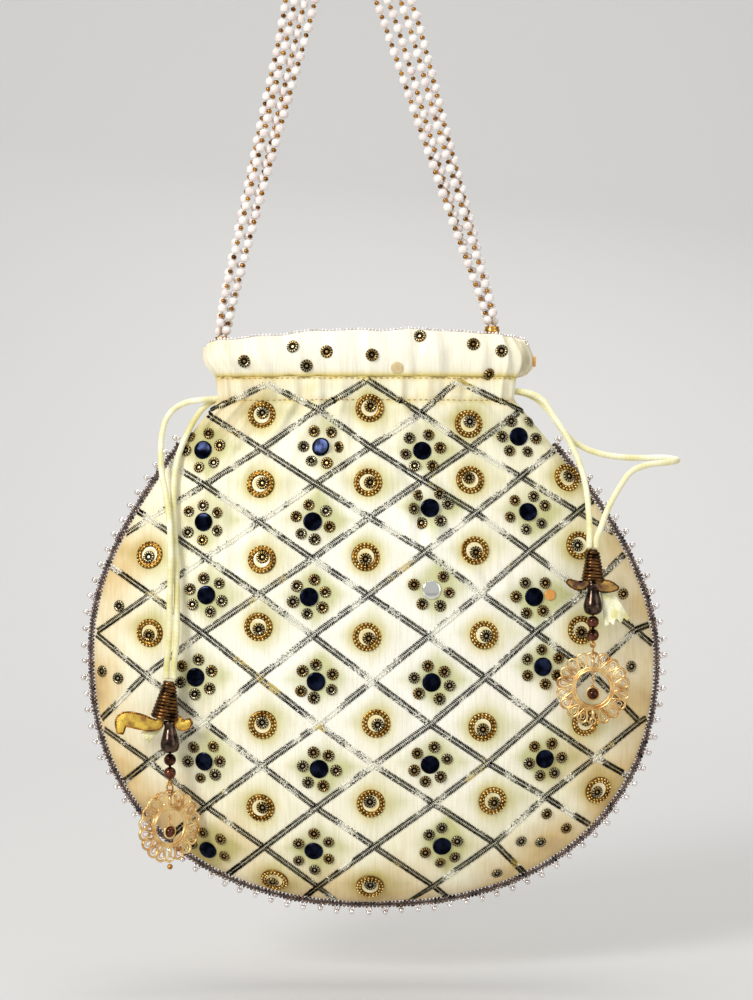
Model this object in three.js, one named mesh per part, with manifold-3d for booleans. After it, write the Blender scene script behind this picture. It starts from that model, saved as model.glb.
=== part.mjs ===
// Potli bag: a flat round drawstring pouch in embroidered silk, hung by a pearl handle.
//
// Millimetres. X runs to the right, Y to the back and Z up. The origin is the underside of
// the innermost handle strand, where it hangs over whatever carries the bag. The two cloth
// panels meet in the plane Y = 0.

import * as THREE from 'three';
import { mergeVertices } from 'three/addons/utils/BufferGeometryUtils.js';
import Module from 'manifold-3d';

const wasm = await Module();
wasm.setup();

// Driving dimensions of the pouch.
const bodyWidth = 223.6;
const bodyCentreX = 12.8;
const waistZ = -182;
const upperHeight = 101.2;
const lowerHeight = 98.4;
const frontBulge = 24;
const backBulge = 18;
const outlinePower = 2.25;
const bottomSeamWidth = 24;
const clothWall = 1.2;
const liningWall = 0.6;

// The gathered neck: two straight walls with round ends, open at each side.
const neckWidth = 120;
const neckEndRadius = 8.2;
const neckBow = 4;
const neckShift = -3.2;
const casingHeight = 9.6;
const casingFlare = 1;
const casingStripWall = 0.8;
const slitWidth = 8.4;

// The frill above the drawstring casing.
const frillWall = 2;
const frillFlare = 5;
const frillTopZ = -159.2;
const frillCrown = 4.4;
const frillTilt = 1.6;
const frontTuck = 6;

// Drawstrings, handle strands, trims and the gaps left between touching pieces.
const drawstringDiameter = 2.4;
const strandDiameter = 2.4;
const seamTrimDiameter = 2.4;
const mouthTrimDiameter = 1.2;
const gap = 0.3;
const liningGap = 1;

// The gold ends that hold the handle strands inside the mouth.
const handleEnd = { radius: 3, height: 4.8, stemRadius: 1.2, stemHeight: 12 };

// One tassel, measured down from the top of its cone. Its drop is measured from the neck's end,
// with the distance in front of the panel in the middle.
const tassel = {
  coneTopRadius: 2.6,
  coneWall: 0.8,
  bellLength: 12.6,
  bellTopRadius: 2.4,
  bellRadius: 3.7,
  beadRadius: 2.4,
  boreRadius: 0.8,
  pinRadius: 0.5,
  eyeRadius: 0.9,
  linkRadius: 2,
  wireRadius: 0.3,
  pendantRadius: 14.4,
  pendantThickness: 1.4,
  petals: 18,
  windowRadius: 6.7,
  petalInner: 8.3,
  petalOuter: 13.2,
  linkHoleRadius: 0.8,
  linkHoleDrop: 1.6,
  ballRadius: 2.1,
  cupRadius: 2.45,
  ballDrop: 2.2,
  dropBeadRadius: 1.1,
};
const tassels = [
  { name: 'left', drop: [-16.2, 7.5, -111.4], coneHeight: 15, coneRadius: 5.8, lean: 8, turn: 40 },
  { name: 'right', drop: [28.4, 5.8, -63.3], coneHeight: 12.6, coneRadius: 4.7, lean: 0, turn: -8 },
];

// Cloth leaves and frayed ribbon under each cone: centre line from the cone's mouth, then
// the width at the root, the middle and the tip.
const leaves = {
  left: {
    leaf_outer: {
      line: [[-3.1, -1.4, -16.9], [-7, -2.2, -16.9], [-12, -2.8, -15.4], [-18, -3, -14.8],
        [-19, -3, -20]],
      widths: [1.2, 5.5, 2],
    },
    leaf_inner: {
      line: [[3.1, -1.4, -17.2], [5.6, -1.8, -17], [8.4, -2.2, -15.4]],
      widths: [1.2, 3.6, 1.6],
    },
    ribbon: {
      line: [[-3.5, 0.8, -17.8], [-7, 0.7, -19.8], [-10.4, 0.5, -22.4]],
      widths: [1.2, 3.4, 4.4],
    },
  },
  right: {
    leaf_outer: {
      line: [[-3.1, -1.4, -14], [-5.8, -2.2, -15], [-9.4, -2.8, -13.4]],
      widths: [1.2, 4.4, 2],
    },
    leaf_inner: {
      line: [[3.1, -1.4, -14], [7.4, -2.2, -15], [12.4, -2.6, -15.4]],
      widths: [1.2, 4.4, 1.8],
    },
    ribbon: {
      line: [[3.8, 1.6, -14.6], [7.2, 1.5, -21.4], [9.8, 1.2, -29]],
      widths: [1.2, 5.4, 9],
    },
  },
};
const leafThickness = 0.8;

// Free stretches of the drawstrings, from the slit down to the cone. Each point holds the
// distance across from the neck's end, in front of the panel's face and up from the string in
// the casing. Each string leaves one slit twice and runs round the casing between.
const leftStringRise = 1.8;
const rightStringRise = 5;
const leftFront = [
  [0.8, 1.5, -0.5], [-5.9, 1.7, -1.1], [-11.4, 1.9, -2], [-16.2, 2.4, -4.5], [-19.3, 3.2, -8.3],
  [-20.9, 4.4, -13.5], [-21.4, 6.2, -21.1], [-20.8, 8, -29.9], [-18.9, 6.3, -38.4],
  [-17.4, 6.4, -46.9], [-16.5, 7, -55.5], [-16.2, 7.6, -63.7], [-16.3, 7.9, -80.7],
  [-16.5, 7.9, -95.5],
];
const leftBack = [
  [0.6, -1.5, -0.6], [-4.4, -1.2, -3.5], [-7.6, 0, -7.4], [-11.4, 3.8, -15.1], [-14.2, 3, -22.7],
  [-15.6, 3.3, -29.9], [-16.1, 2.9, -38.4], [-15.7, 2.8, -46.9], [-15, 3.2, -55.6],
  [-14.3, 4, -63.8], [-13.8, 5.4, -80.9], [-13.7, 6.8, -95.5],
];
const rightFront = [
  [0.2, 1.5, -0.7], [6.7, 1.8, -2.1], [11, 2.3, -4.9], [14.7, 3.4, -10.7], [19.7, 5.6, -18.8],
  [23.8, 8, -27.6], [26.3, 10.8, -36.7], [27.4, 11.2, -48.1], [27.2, 13.4, -56.7],
];
const rightBack = [
  [0.2, -1.5, -0.8], [6.9, -1.8, -2.9], [11.7, -1.6, -6.9], [16.5, -0.8, -13.4], [21, 0.2, -19],
  [26, 1.4, -22.8], [32.5, 2.6, -25.5], [41.1, 4, -27.1], [49.9, 5.2, -27.5], [58.6, 5.8, -27.4],
  [62, 7.4, -27.9], [62.9, 11, -28.5], [60.9, 14.6, -29.1], [57.1, 16.2, -29.6],
  [50.1, 17.2, -30.5], [43.7, 18, -33.3], [38.5, 18.8, -40.3], [34.3, 19.8, -48.1],
  [31.2, 16.6, -55.9],
];
const drawstringSteps = 68;
const runSpacing = 0.4;
const lastDrop = 8;

// Routes of the four handle strands, innermost first, from the left gold end over the top
// to the right one.
const strands = [
  [
    [-46.6, -1.4, -155.7], [-43.6, -1.4, -143], [-35.6, -1.3, -112], [-24, -1, -70],
    [-11.8, -0.9, -26], [-7, -0.9, -5.2], [-4.9, -0.9, -0.3], [0, -0.9, 1.8], [4.9, -0.9, -0.3],
    [7, -0.9, -5.2], [15.2, -0.9, -26], [30.3, -1, -70], [44.9, -1.3, -112],
    [55.4, -1.4, -141], [58.7, -1.4, -151.5],
  ],
  [
    [-46.6, 1.4, -155.7], [-44, 1.4, -143], [-36.7, 1.3, -112], [-26.5, 1, -70],
    [-16, 0.9, -26], [-11.6, 0.9, -5.2], [-8.2, 0.9, 3], [0, 0.9, 6.4], [8.2, 0.9, 3],
    [11.6, 0.9, -5.2], [20.2, 0.9, -26], [33.7, 1, -70], [46.6, 1.3, -112],
    [55.8, 1.4, -141], [58.7, 1.4, -151.5],
  ],
  [
    [-49.3, -1.4, -155.7], [-47.5, -1.4, -143], [-40.2, -1.3, -112], [-30, -1, -70],
    [-19.6, -0.9, -26], [-16.2, -0.9, -5.2], [-11.5, -0.9, 6.3], [0, -0.9, 11],
    [11.5, -0.9, 6.3], [16.2, -0.9, -5.2], [25, -0.9, -26], [37.7, -1, -70],
    [50.2, -1.3, -112], [58.9, -1.4, -141], [61.3, -1.4, -151.5],
  ],
  [
    [-49.3, 1.4, -155.7], [-47.9, 1.4, -143], [-41.4, 1.3, -112], [-32.4, 1, -70],
    [-23.2, 0.9, -26], [-20.8, 0.9, -5.2], [-14.7, 0.9, 9.5], [0, 0.9, 15.6],
    [14.7, 0.9, 9.5], [20.8, 0.9, -5.2], [29.2, 0.9, -26], [40.8, 1, -70],
    [52, 1.3, -112], [59.2, 1.4, -141], [61.3, 1.4, -151.5],
  ],
];
const strandSteps = 34;

// Places worked out from the driving dimensions.
const widestZ = waistZ - upperHeight;
const casingTopZ = waistZ + casingHeight;
const frillBaseZ = casingTopZ + gap;
const neckCentreX = bodyCentreX + neckShift;
const slits = {
  left: [neckCentreX - neckWidth / 2, 0, waistZ + leftStringRise],
  right: [neckCentreX + neckWidth / 2, 0, waistZ + rightStringRise],
};

const finish = {
  silk: new THREE.MeshStandardMaterial({ color: 0xf0ead0, roughness: 0.55 }),
  lining: new THREE.MeshStandardMaterial({ color: 0xe2d8b8, roughness: 0.7 }),
  satin: new THREE.MeshStandardMaterial({ color: 0xf1ecc4, roughness: 0.4 }),
  pearl: new THREE.MeshStandardMaterial({ color: 0xf6efe6, roughness: 0.2 }),
  gold: new THREE.MeshStandardMaterial({ color: 0xc08a32, roughness: 0.3, metalness: 1 }),
  bronze: new THREE.MeshStandardMaterial({ color: 0x6b5632, roughness: 0.35, metalness: 1 }),
  silver: new THREE.MeshStandardMaterial({ color: 0xb9b4ad, roughness: 0.3, metalness: 1 }),
  brocade: new THREE.MeshStandardMaterial({ color: 0xb08a30, roughness: 0.6 }),
};

const group = new THREE.Group();

function addPiece(name, geometry, material, parent = group) {
  const mesh = new THREE.Mesh(closed(geometry), material.clone());
  mesh.name = name;
  parent.add(mesh);
  return mesh;
}

// Joins the shared corners of a geometry so that it is one closed surface.
function closed(geometry) {
  geometry.deleteAttribute('normal');
  geometry.deleteAttribute('uv');
  const merged = mergeVertices(geometry, 1e-4);
  merged.computeVertexNormals();
  return merged;
}

function solidOf(geometry) {
  const merged = closed(geometry);
  const mesh = new wasm.Mesh({
    numProp: 3,
    vertProperties: new Float32Array(merged.attributes.position.array),
    triVerts: new Uint32Array(merged.index.array),
  });
  return new wasm.Manifold(mesh);
}

function geometryOf(solid) {
  const mesh = solid.getMesh();
  const geometry = new THREE.BufferGeometry();
  geometry.setAttribute('position', new THREE.BufferAttribute(mesh.vertProperties, 3));
  geometry.setIndex(new THREE.BufferAttribute(mesh.triVerts, 1));
  return geometry;
}

// A curved wall: place(across, down, outside) gives the point for across from -1 to 1, down
// from 0 at the top to 1 at the bottom, on the outer or the inner face.
function curvedWall(acrossSteps, downSteps, place) {
  const geometry = new THREE.BoxGeometry(2, 1, 1, acrossSteps, downSteps, 1);
  const at = geometry.attributes.position;
  for (let i = 0; i < at.count; i += 1) {
    const point = place(at.getX(i), 0.5 - at.getY(i), at.getZ(i) > 0);
    at.setXYZ(i, point.x, point.y, point.z);
  }
  return geometry;
}

function tubeAlong(points, diameter, sides, steps) {
  const path = new THREE.CatmullRomCurve3(points, false, 'centripetal');
  const section = new THREE.Shape();
  for (let i = 0; i < sides; i += 1) {
    const angle = (2 * Math.PI * i) / sides;
    const place = [Math.cos(angle) * diameter / 2, Math.sin(angle) * diameter / 2];
    if (i === 0) section.moveTo(...place);
    else section.lineTo(...place);
  }
  return new THREE.ExtrudeGeometry(section, { steps, extrudePath: path, bevelEnabled: false });
}

const vectors = (points) => points.map((point) => new THREE.Vector3(...point));

// The neck's wall, seen from above: x and the distance in front of the seam plane, for
// across from -1 to 1, with its end radius and half width made smaller by inset.
const straightShare = 0.75;
function neckWall(across, halfWidth, slit, inset) {
  const side = Math.sign(across);
  const straight = halfWidth - neckEndRadius;
  const radius = neckEndRadius - inset;
  if (Math.abs(across) <= straightShare) {
    const along = across / straightShare;
    const bow = neckBow * (1 - along * along) ** 2;
    return { x: straight * along, depth: radius + bow };
  }
  const lastAngle = Math.acos(slit / 2 / neckEndRadius);
  const angle = lastAngle * (Math.abs(across) - straightShare) / (1 - straightShare);
  return { x: side * (straight + radius * Math.sin(angle)), depth: radius * Math.cos(angle) };
}

// A lens-shaped section with pinched ends, where the two panels meet at the seam.
const lensPower = 0.75;
function lensWall(across, halfWidth, depth) {
  const share = Math.sin((across * Math.PI) / 2);
  const lift = gap / 2 + (depth - gap / 2) * (1 - share * share) ** lensPower;
  return { x: halfWidth * share, depth: Math.max(lift, gap / 2) };
}

// Rows of the body from the casing's top edge down to the bottom seam. Each row gives its
// height, half width and depth for a wall that lies inset inside the outer face. The open
// neck closes to the pinched seam over the first pinchShare of the upper part.
const pinchShare = 0.3;
const casingShares = [1, 0.5, 0];
const upperShares = [0.03, 0.09, 0.18, 0.3, 0.45, 0.62, 0.8, 1];
const lowerRows = 7;
const rows = [];
for (const share of casingShares) {
  rows.push({ kind: 'casing', share });
}
for (const share of upperShares) {
  rows.push({ kind: 'upper', share });
}
const lastTurn = Math.acos((bottomSeamWidth / bodyWidth) ** (outlinePower / 2));
for (let i = 1; i <= lowerRows; i += 1) {
  rows.push({ kind: 'lower', share: (lastTurn * i) / lowerRows });
}

const lerp = THREE.MathUtils.lerp;

function bodyRow(row, bulge, inset) {
  const neckDepth = neckEndRadius + neckBow;
  if (row.kind === 'casing') {
    return {
      z: waistZ + casingHeight * row.share,
      halfWidth: neckWidth / 2 + casingFlare * row.share - inset,
      depth: neckDepth - inset,
      slit: slitWidth,
      pinch: 0,
      shift: neckShift,
    };
  }
  if (row.kind === 'upper') {
    const rise = Math.sin((row.share * Math.PI) / 2);
    return {
      z: waistZ - upperHeight * row.share,
      halfWidth: lerp(neckWidth, bodyWidth, rise) / 2 - inset,
      depth: lerp(neckDepth, bulge, rise) - inset,
      slit: gap,
      pinch: Math.min(1, row.share / pinchShare),
      shift: neckShift * (1 - row.share),
    };
  }
  const power = 2 / outlinePower;
  const narrow = Math.cos(row.share) ** power;
  const least = Math.cos(lastTurn) ** power;
  const fill = Math.max(0, (narrow - least) / (1 - least));
  const hem = Math.max(0, clothWall - inset);
  return {
    z: widestZ - (lowerHeight - inset) * Math.sin(row.share) ** power,
    halfWidth: (bodyWidth / 2 - inset) * narrow,
    depth: hem + (bulge - Math.max(clothWall, inset)) * fill,
    slit: gap,
    pinch: 1,
    shift: 0,
  };
}

// A point of the front wall's face that lies inset inside the outer face. The back wall is
// the same wall turned half way round.
function bodyPoint(across, row, bulge, inset, front) {
  const facts = bodyRow(row, bulge, inset);
  const side = front ? 1 : -1;
  const round = neckWall(across, facts.halfWidth + inset, facts.slit, inset);
  const lens = lensWall(across, facts.halfWidth, facts.depth);
  const x = lerp(round.x, lens.x, facts.pinch);
  const depth = lerp(Math.max(round.depth, gap / 2), lens.depth, facts.pinch);
  const centre = bodyCentreX + facts.shift;
  return new THREE.Vector3(centre + side * x, -side * depth, facts.z);
}

// How far the front panel's face lies in front of the seam plane, or 0 beyond its edge.
function faceDepth(x, z) {
  if (z >= waistZ) return 0;
  const fall = Math.min(1, (widestZ - z) / lowerHeight);
  const row = z > widestZ
    ? { kind: 'upper', share: (waistZ - z) / upperHeight }
    : { kind: 'lower', share: Math.asin(fall ** (outlinePower / 2)) };
  const { halfWidth, depth, shift, pinch } = bodyRow(row, frontBulge, 0);
  const across = Math.abs(x - bodyCentreX - shift);
  if (across >= halfWidth) return 0;
  const round = Math.max(0, across - halfWidth + neckEndRadius);
  const neckDepth = Math.sqrt(neckEndRadius ** 2 - round ** 2);
  const lensDepth = depth * (1 - (across / halfWidth) ** 2) ** lensPower;
  return lerp(neckDepth, lensDepth, pinch);
}

function bodyWall(firstRow, everyRow, acrossSteps, bulge, outerInset, innerInset, front) {
  const chosen = rows.filter((row, i) => i >= firstRow && (rows.length - 1 - i) % everyRow === 0);
  const steps = chosen.length - 1;
  return curvedWall(acrossSteps, steps, (across, down, outside) => {
    const row = chosen[Math.round(down * steps)];
    return bodyPoint(across, row, bulge, outside ? outerInset : innerInset, front);
  });
}

const liningTop = casingShares.length + 1;
const panelSteps = 14;
const liningSteps = 7;
for (const [side, bulge, front] of [['front', frontBulge, true], ['back', backBulge, false]]) {
  const panel = bodyWall(0, 1, panelSteps, bulge, 0, clothWall, front);
  addPiece(`${side}_panel`, panel, finish.silk);
  const outer = clothWall + liningGap;
  const lining = bodyWall(liningTop, 2, liningSteps, bulge, outer, outer + liningWall, front);
  addPiece(`${side}_lining`, lining, finish.lining);
}

// The casing strip backs the panel's top edge, and the drawstrings run between the two. It
// stops stripInset short of each end of the neck's straight part.
const tunnelWidth = drawstringDiameter + 2 * gap + 0.1;
const stripTopZ = casingTopZ - 0.5;
const stripBottomZ = waistZ - 1.6;
const stripInset = 10;
function casingStrip(front) {
  const side = front ? 1 : -1;
  const straight = neckWidth / 2 - neckEndRadius;
  return curvedWall(16, 1, (across, down, outside) => {
    const x = across * (straight - stripInset);
    const along = x / straight;
    const radius = neckEndRadius - clothWall - tunnelWidth - (outside ? 0 : casingStripWall);
    const depth = radius + neckBow * (1 - along * along) ** 2;
    const z = lerp(stripTopZ, stripBottomZ, down);
    return new THREE.Vector3(neckCentreX + side * x, -side * depth, z);
  });
}

// The frill widens upward, and its right front end is tucked in behind the handle.
function frillTop(across, side) {
  const u = across * side;
  return frillTopZ + frillCrown * (1 - u * u) + frillTilt * u;
}

function frillPoint(across, height, inset, front) {
  const side = front ? 1 : -1;
  const widen = frillFlare * Math.sin((height * Math.PI) / 2);
  const tuck = front && across > 0 ? frontTuck * height : 0;
  const halfWidth = neckWidth / 2 + casingFlare + widen - tuck;
  const wall = neckWall(across, halfWidth, slitWidth, inset);
  const z = lerp(frillBaseZ, frillTop(across, side), height);
  return new THREE.Vector3(neckCentreX + side * wall.x, -side * wall.depth, z);
}

function frill(front) {
  return curvedWall(24, 3, (across, down, outside) => (
    frillPoint(across, 1 - down, outside ? 0 : frillWall, front)
  ));
}

// The beaded edge runs up one slit edge of the frill, along its top and down the other. Each
// row holds the place across, the height, the lift above the edge and the distance beyond it.
const trimOut = mouthTrimDiameter / 2 + gap;
const trimSide = [
  [1, 0.2, 0, trimOut + 0.1], [1, 0.45, 0, trimOut + 0.1], [1, 0.7, 0, trimOut + 0.1],
  [1, 0.92, 0.5, trimOut + 0.5], [0.98, 1, trimOut + 0.4, 0.8],
];
const trimTopSteps = 8;
function mouthTrim(front) {
  const side = front ? 1 : -1;
  const edge = ([across, height, lift, beyond]) => {
    const point = frillPoint(across, height, frillWall / 2, front);
    const spread = Math.sign(across) * side * beyond * 0.45;
    return point.add(new THREE.Vector3(spread, side * beyond * 0.9, lift));
  };
  const along = [];
  for (let i = 1 - trimTopSteps; i < trimTopSteps; i += 1) {
    along.push([i / trimTopSteps, 1, trimOut + 0.15, 0]);
  }
  const start = trimSide.map(([across, ...rest]) => [-across, ...rest]);
  const places = [...start, ...along, ...[...trimSide].reverse()];
  return tubeAlong(places.map(edge), mouthTrimDiameter, 6, 36);
}

for (const [side, front] of [['front', true], ['back', false]]) {
  addPiece(`${side}_casing_strip`, casingStrip(front), finish.lining);
  addPiece(`${side}_frill`, frill(front), finish.silk);
  addPiece(`${side}_mouth_trim`, mouthTrim(front), finish.silver);
}

// The beaded trim follows the seam from one side of the neck round to the other. It starts
// below the neck by this share of the upper height.
const seamTrimStart = 0.17;
function seamTrim() {
  const out = seamTrimDiameter / 2 + gap;
  const flat = (row) => {
    const facts = bodyRow(row, frontBulge, 0);
    return new THREE.Vector2(facts.halfWidth, facts.z);
  };
  const edge = [];
  for (let share = seamTrimStart; share < 0.97; share += 0.1) {
    edge.push([flat({ kind: 'upper', share }), neckShift * (1 - share)]);
  }
  for (let i = 0; i <= 10; i += 1) {
    edge.push([flat({ kind: 'lower', share: (lastTurn * i) / 10 }), 0]);
  }
  const right = edge.map(([point, shift], i) => {
    const before = edge[Math.max(0, i - 1)][0];
    const after = edge[Math.min(edge.length - 1, i + 1)][0];
    const along = after.clone().sub(before).normalize();
    const place = new THREE.Vector2(point.x - along.y * out, point.y + along.x * out);
    return [place, shift];
  });
  const bottom = new THREE.Vector3(bodyCentreX, 0, widestZ - lowerHeight - out);
  const toSide = (side) => right.map(([place, shift]) => (
    new THREE.Vector3(bodyCentreX + shift + side * place.x, 0, place.y)
  ));
  const points = [...toSide(-1), bottom, ...toSide(1).reverse()];
  return tubeAlong(points, seamTrimDiameter, 6, 52);
}
addPiece('seam_trim', seamTrim(), finish.silver);

// Half way round the casing, a drawstring runs along the middle of the tunnel.
const loopShares = [-0.8, -0.55, -0.25, 0, 0.25, 0.55, 0.8, 1];
const loopTurns = [30, 60, 90];
function casingLoop(fromLeft, z) {
  const side = fromLeft ? 1 : -1;
  const straight = neckWidth / 2 - neckEndRadius;
  const radius = neckEndRadius - clothWall - tunnelWidth / 2;
  const half = [];
  for (const x of loopShares) {
    half.push([x * straight, radius + neckBow * (1 - x * x) ** 2]);
  }
  for (const turn of loopTurns) {
    const angle = THREE.MathUtils.degToRad(turn);
    half.push([straight + radius * Math.sin(angle), radius * Math.cos(angle)]);
  }
  const front = half.map(([x, depth]) => [neckCentreX + side * x, -depth, z]);
  const back = half.slice(0, -1).map(([x, depth]) => [neckCentreX + side * x, depth, z]);
  return [...front, ...back.reverse()];
}

// A place measured across from a slit, in front of the panel's face and up from the string.
function fromSlit(side, [across, before, up]) {
  const x = slits[side][0] + across;
  const z = slits[side][2] + up;
  return [x, -faceDepth(x, z) - before, z];
}

// The top of a tassel's cone, far enough out that the cone and the pendant clear the panel.
function tasselTop({ name, drop, coneHeight, turn }) {
  const [x, , z] = fromSlit(name, drop);
  const reach = tassel.pendantRadius * Math.cos(THREE.MathUtils.degToRad(turn));
  const inward = name === 'left' ? 1 : -1;
  const below = tassel.bellLength + 4 * tassel.beadRadius + 4 * tassel.linkRadius;
  const under = [
    faceDepth(x, z),
    faceDepth(x, z - coneHeight),
    faceDepth(x + inward * reach, z - coneHeight - below - tassel.pendantRadius),
  ];
  return [x, -Math.max(...under) - drop[1], z];
}

// The two runs of a drawstring end side by side on top of their tassel's cone.
function drawstring(front, back, hanging, inward) {
  const side = hanging.name;
  const down = (points) => points.map((point) => fromSlit(side, point));
  const [x, y, z] = tasselTop(hanging);
  const lean = Math.sin(THREE.MathUtils.degToRad(hanging.lean));
  const footZ = z + gap + tassel.coneTopRadius * lean;
  const apart = (drawstringDiameter + runSpacing) / 2;
  const ends = (offset) => [[x + offset, y, footZ + lastDrop], [x + offset, y, footZ]];
  const start = [...down(front), ...ends(-apart)].reverse();
  const loop = casingLoop(inward > 0, slits[side][2]);
  const route = [...start, ...loop, ...down(back), ...ends(apart)];
  return tubeAlong(vectors(route), drawstringDiameter, 8, drawstringSteps);
}
const [leftTassel, rightTassel] = tassels;
const leftString = drawstring(leftFront, leftBack, leftTassel, 1);
addPiece('left_drawstring', leftString, finish.satin);
const rightString = drawstring(rightFront, rightBack, rightTassel, -1);
addPiece('right_drawstring', rightString, finish.satin);

strands.forEach((route, i) => {
  const strand = tubeAlong(vectors(route), strandDiameter, 8, strandSteps);
  addPiece(`handle_strand_${i + 1}`, strand, finish.pearl);
});

const turned = (outline, sides) => {
  const lathe = new THREE.LatheGeometry(outline.map((p) => new THREE.Vector2(...p)), sides);
  return lathe.rotateX(Math.PI / 2);
};

// Each gold end sits between the two frills, with its stem sewn to the inside of the mouth.
function handleEndPiece(side, strandBase) {
  const { radius, height, stemRadius, stemHeight } = handleEnd;
  const outline = [
    [0, -height - stemHeight], [stemRadius, -height - stemHeight], [stemRadius, -height],
    [radius * 0.7, -height], [radius, -height * 0.7], [radius, -0.5], [radius * 0.85, 0], [0, 0],
  ];
  const piece = addPiece(`${side}_handle_end`, turned(outline, 14), finish.gold);
  piece.position.set(strandBase.x, 0, strandBase.z - gap);
}
const strandFoot = (at) => ({
  x: (strands[0].at(at)[0] + strands[3].at(at)[0]) / 2,
  z: strands[0].at(at)[2],
});
handleEndPiece('left', strandFoot(0));
handleEndPiece('right', strandFoot(-1));

// Tassel pieces. Heights run down from the top of the cone.
function cone(height, radius) {
  const { coneTopRadius, coneWall } = tassel;
  const outline = [
    [0, 0], [coneTopRadius, 0], [radius, -height], [radius - coneWall, -height],
    [coneTopRadius - coneWall, -coneWall], [0, -coneWall],
  ];
  return turned(outline.reverse(), 16);
}

function bell() {
  const { bellLength, bellTopRadius, bellRadius, boreRadius } = tassel;
  const outline = [
    [boreRadius, 0], [bellTopRadius, 0], [bellTopRadius * 1.04, -bellLength * 0.25],
    [bellRadius * 0.9, -bellLength * 0.55], [bellRadius, -bellLength * 0.75],
    [bellRadius * 0.8, -bellLength * 0.93], [boreRadius * 2, -bellLength],
    [boreRadius, -bellLength], [boreRadius, 0],
  ];
  return turned(outline.reverse(), 14);
}

function bead() {
  const { beadRadius, boreRadius } = tassel;
  const start = Math.asin(boreRadius / beadRadius);
  const outline = [];
  const bands = 5;
  for (let i = 0; i <= bands; i += 1) {
    const angle = start + ((Math.PI - 2 * start) * i) / bands;
    outline.push([beadRadius * Math.sin(angle), beadRadius * Math.cos(angle)]);
  }
  outline.push(outline[0]);
  return turned(outline.reverse(), 11);
}

function pin(topHeight, eyeHeight) {
  const { pinRadius, eyeRadius, wireRadius } = tassel;
  const length = topHeight - eyeHeight - eyeRadius;
  const rod = new THREE.CylinderGeometry(pinRadius, pinRadius, length, 10);
  rod.rotateX(Math.PI / 2).translate(0, 0, topHeight - length / 2);
  const eye = new THREE.TorusGeometry(eyeRadius, wireRadius, 6, 14);
  eye.rotateX(Math.PI / 2).translate(0, 0, eyeHeight);
  return geometryOf(solidOf(rod).add(solidOf(eye)));
}

function link() {
  const { linkRadius, wireRadius } = tassel;
  return new THREE.TorusGeometry(linkRadius, wireRadius, 6, 16).rotateY(Math.PI / 2);
}

const polar = (radius, angle) => [radius * Math.cos(angle), radius * Math.sin(angle)];

function pathFrom(places) {
  const path = new THREE.Path();
  places.forEach((place, i) => (i === 0 ? path.moveTo(...place) : path.lineTo(...place)));
  path.closePath();
  return path;
}

// A scalloped rosette with a window in the middle, a drop-shaped hole in each petal but the
// top and bottom ones, and a small hole for the link.
function pendant() {
  const { petals, pendantRadius, pendantThickness, windowRadius } = tassel;
  const { petalInner, petalOuter, linkHoleRadius, linkHoleDrop } = tassel;
  const pitch = (2 * Math.PI) / petals;
  const topAngle = Math.PI / 2;
  const rim = [];
  for (let i = 0; i < petals; i += 1) {
    const middle = topAngle + pitch * i;
    rim.push(polar(pendantRadius * 0.94, middle - pitch / 2));
    rim.push(polar(pendantRadius, middle - pitch / 5));
    rim.push(polar(pendantRadius, middle + pitch / 5));
  }
  const shape = new THREE.Shape(rim.map((place) => new THREE.Vector2(...place)));
  const circle = (radius, height, sides) => pathFrom(
    Array.from({ length: sides }, (_, i) => {
      const [x, y] = polar(radius, (2 * Math.PI * i) / sides);
      return [x, y + height];
    }),
  );
  shape.holes.push(circle(windowRadius, 0, 24));
  shape.holes.push(circle(linkHoleRadius, pendantRadius - linkHoleDrop, 8));
  for (let i = 0; i < petals; i += 1) {
    const middle = topAngle + pitch * i;
    if (i % (petals / 2) !== 0) {
      shape.holes.push(pathFrom([
        polar(petalInner, middle),
        polar(petalOuter * 0.92, middle + pitch * 0.26),
        polar(petalOuter, middle),
        polar(petalOuter * 0.92, middle - pitch * 0.26),
      ]));
    }
  }
  const options = { depth: pendantThickness, bevelEnabled: false };
  const plate = new THREE.ExtrudeGeometry(shape, options);
  return plate.translate(0, 0, -pendantThickness / 2).rotateX(Math.PI / 2);
}

// A ball held in a small cup ring that hangs by a wire from the top of the window.
function charmBall() {
  const { windowRadius, ballRadius, cupRadius, wireRadius, ballDrop } = tassel;
  const ball = new THREE.SphereGeometry(ballRadius, 10, 6).translate(0, 0, -ballDrop);
  const cup = new THREE.TorusGeometry(cupRadius, wireRadius, 5, 14).rotateX(Math.PI / 2);
  cup.translate(0, 0, -ballDrop);
  const length = windowRadius - gap * 1.5 + ballDrop;
  const wire = new THREE.CylinderGeometry(wireRadius, wireRadius, length, 8);
  wire.rotateX(Math.PI / 2).translate(0, 0, length / 2 - ballDrop);
  return geometryOf(solidOf(ball).add(solidOf(cup)).add(solidOf(wire)));
}

function leaf({ line, widths }) {
  const middleLine = new THREE.CatmullRomCurve3(vectors(line), false, 'centripetal');
  const [root, middle, tip] = widths;
  return curvedWall(2, 6, (across, down, outside) => {
    const point = middleLine.getPoint(down);
    const along = middleLine.getTangent(down);
    const broad = new THREE.Vector3(0, -1, 0).cross(along).normalize();
    const belly = middle - (root + tip) / 2;
    const width = lerp(root, tip, down) + 4 * belly * down * (1 - down);
    const cup = 0.12 * width * (1 - across * across);
    const depth = (outside ? leafThickness / 2 : -leafThickness / 2) + cup;
    return point.addScaledVector(broad, (across * width) / 2).add(new THREE.Vector3(0, -depth, 0));
  });
}

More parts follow.
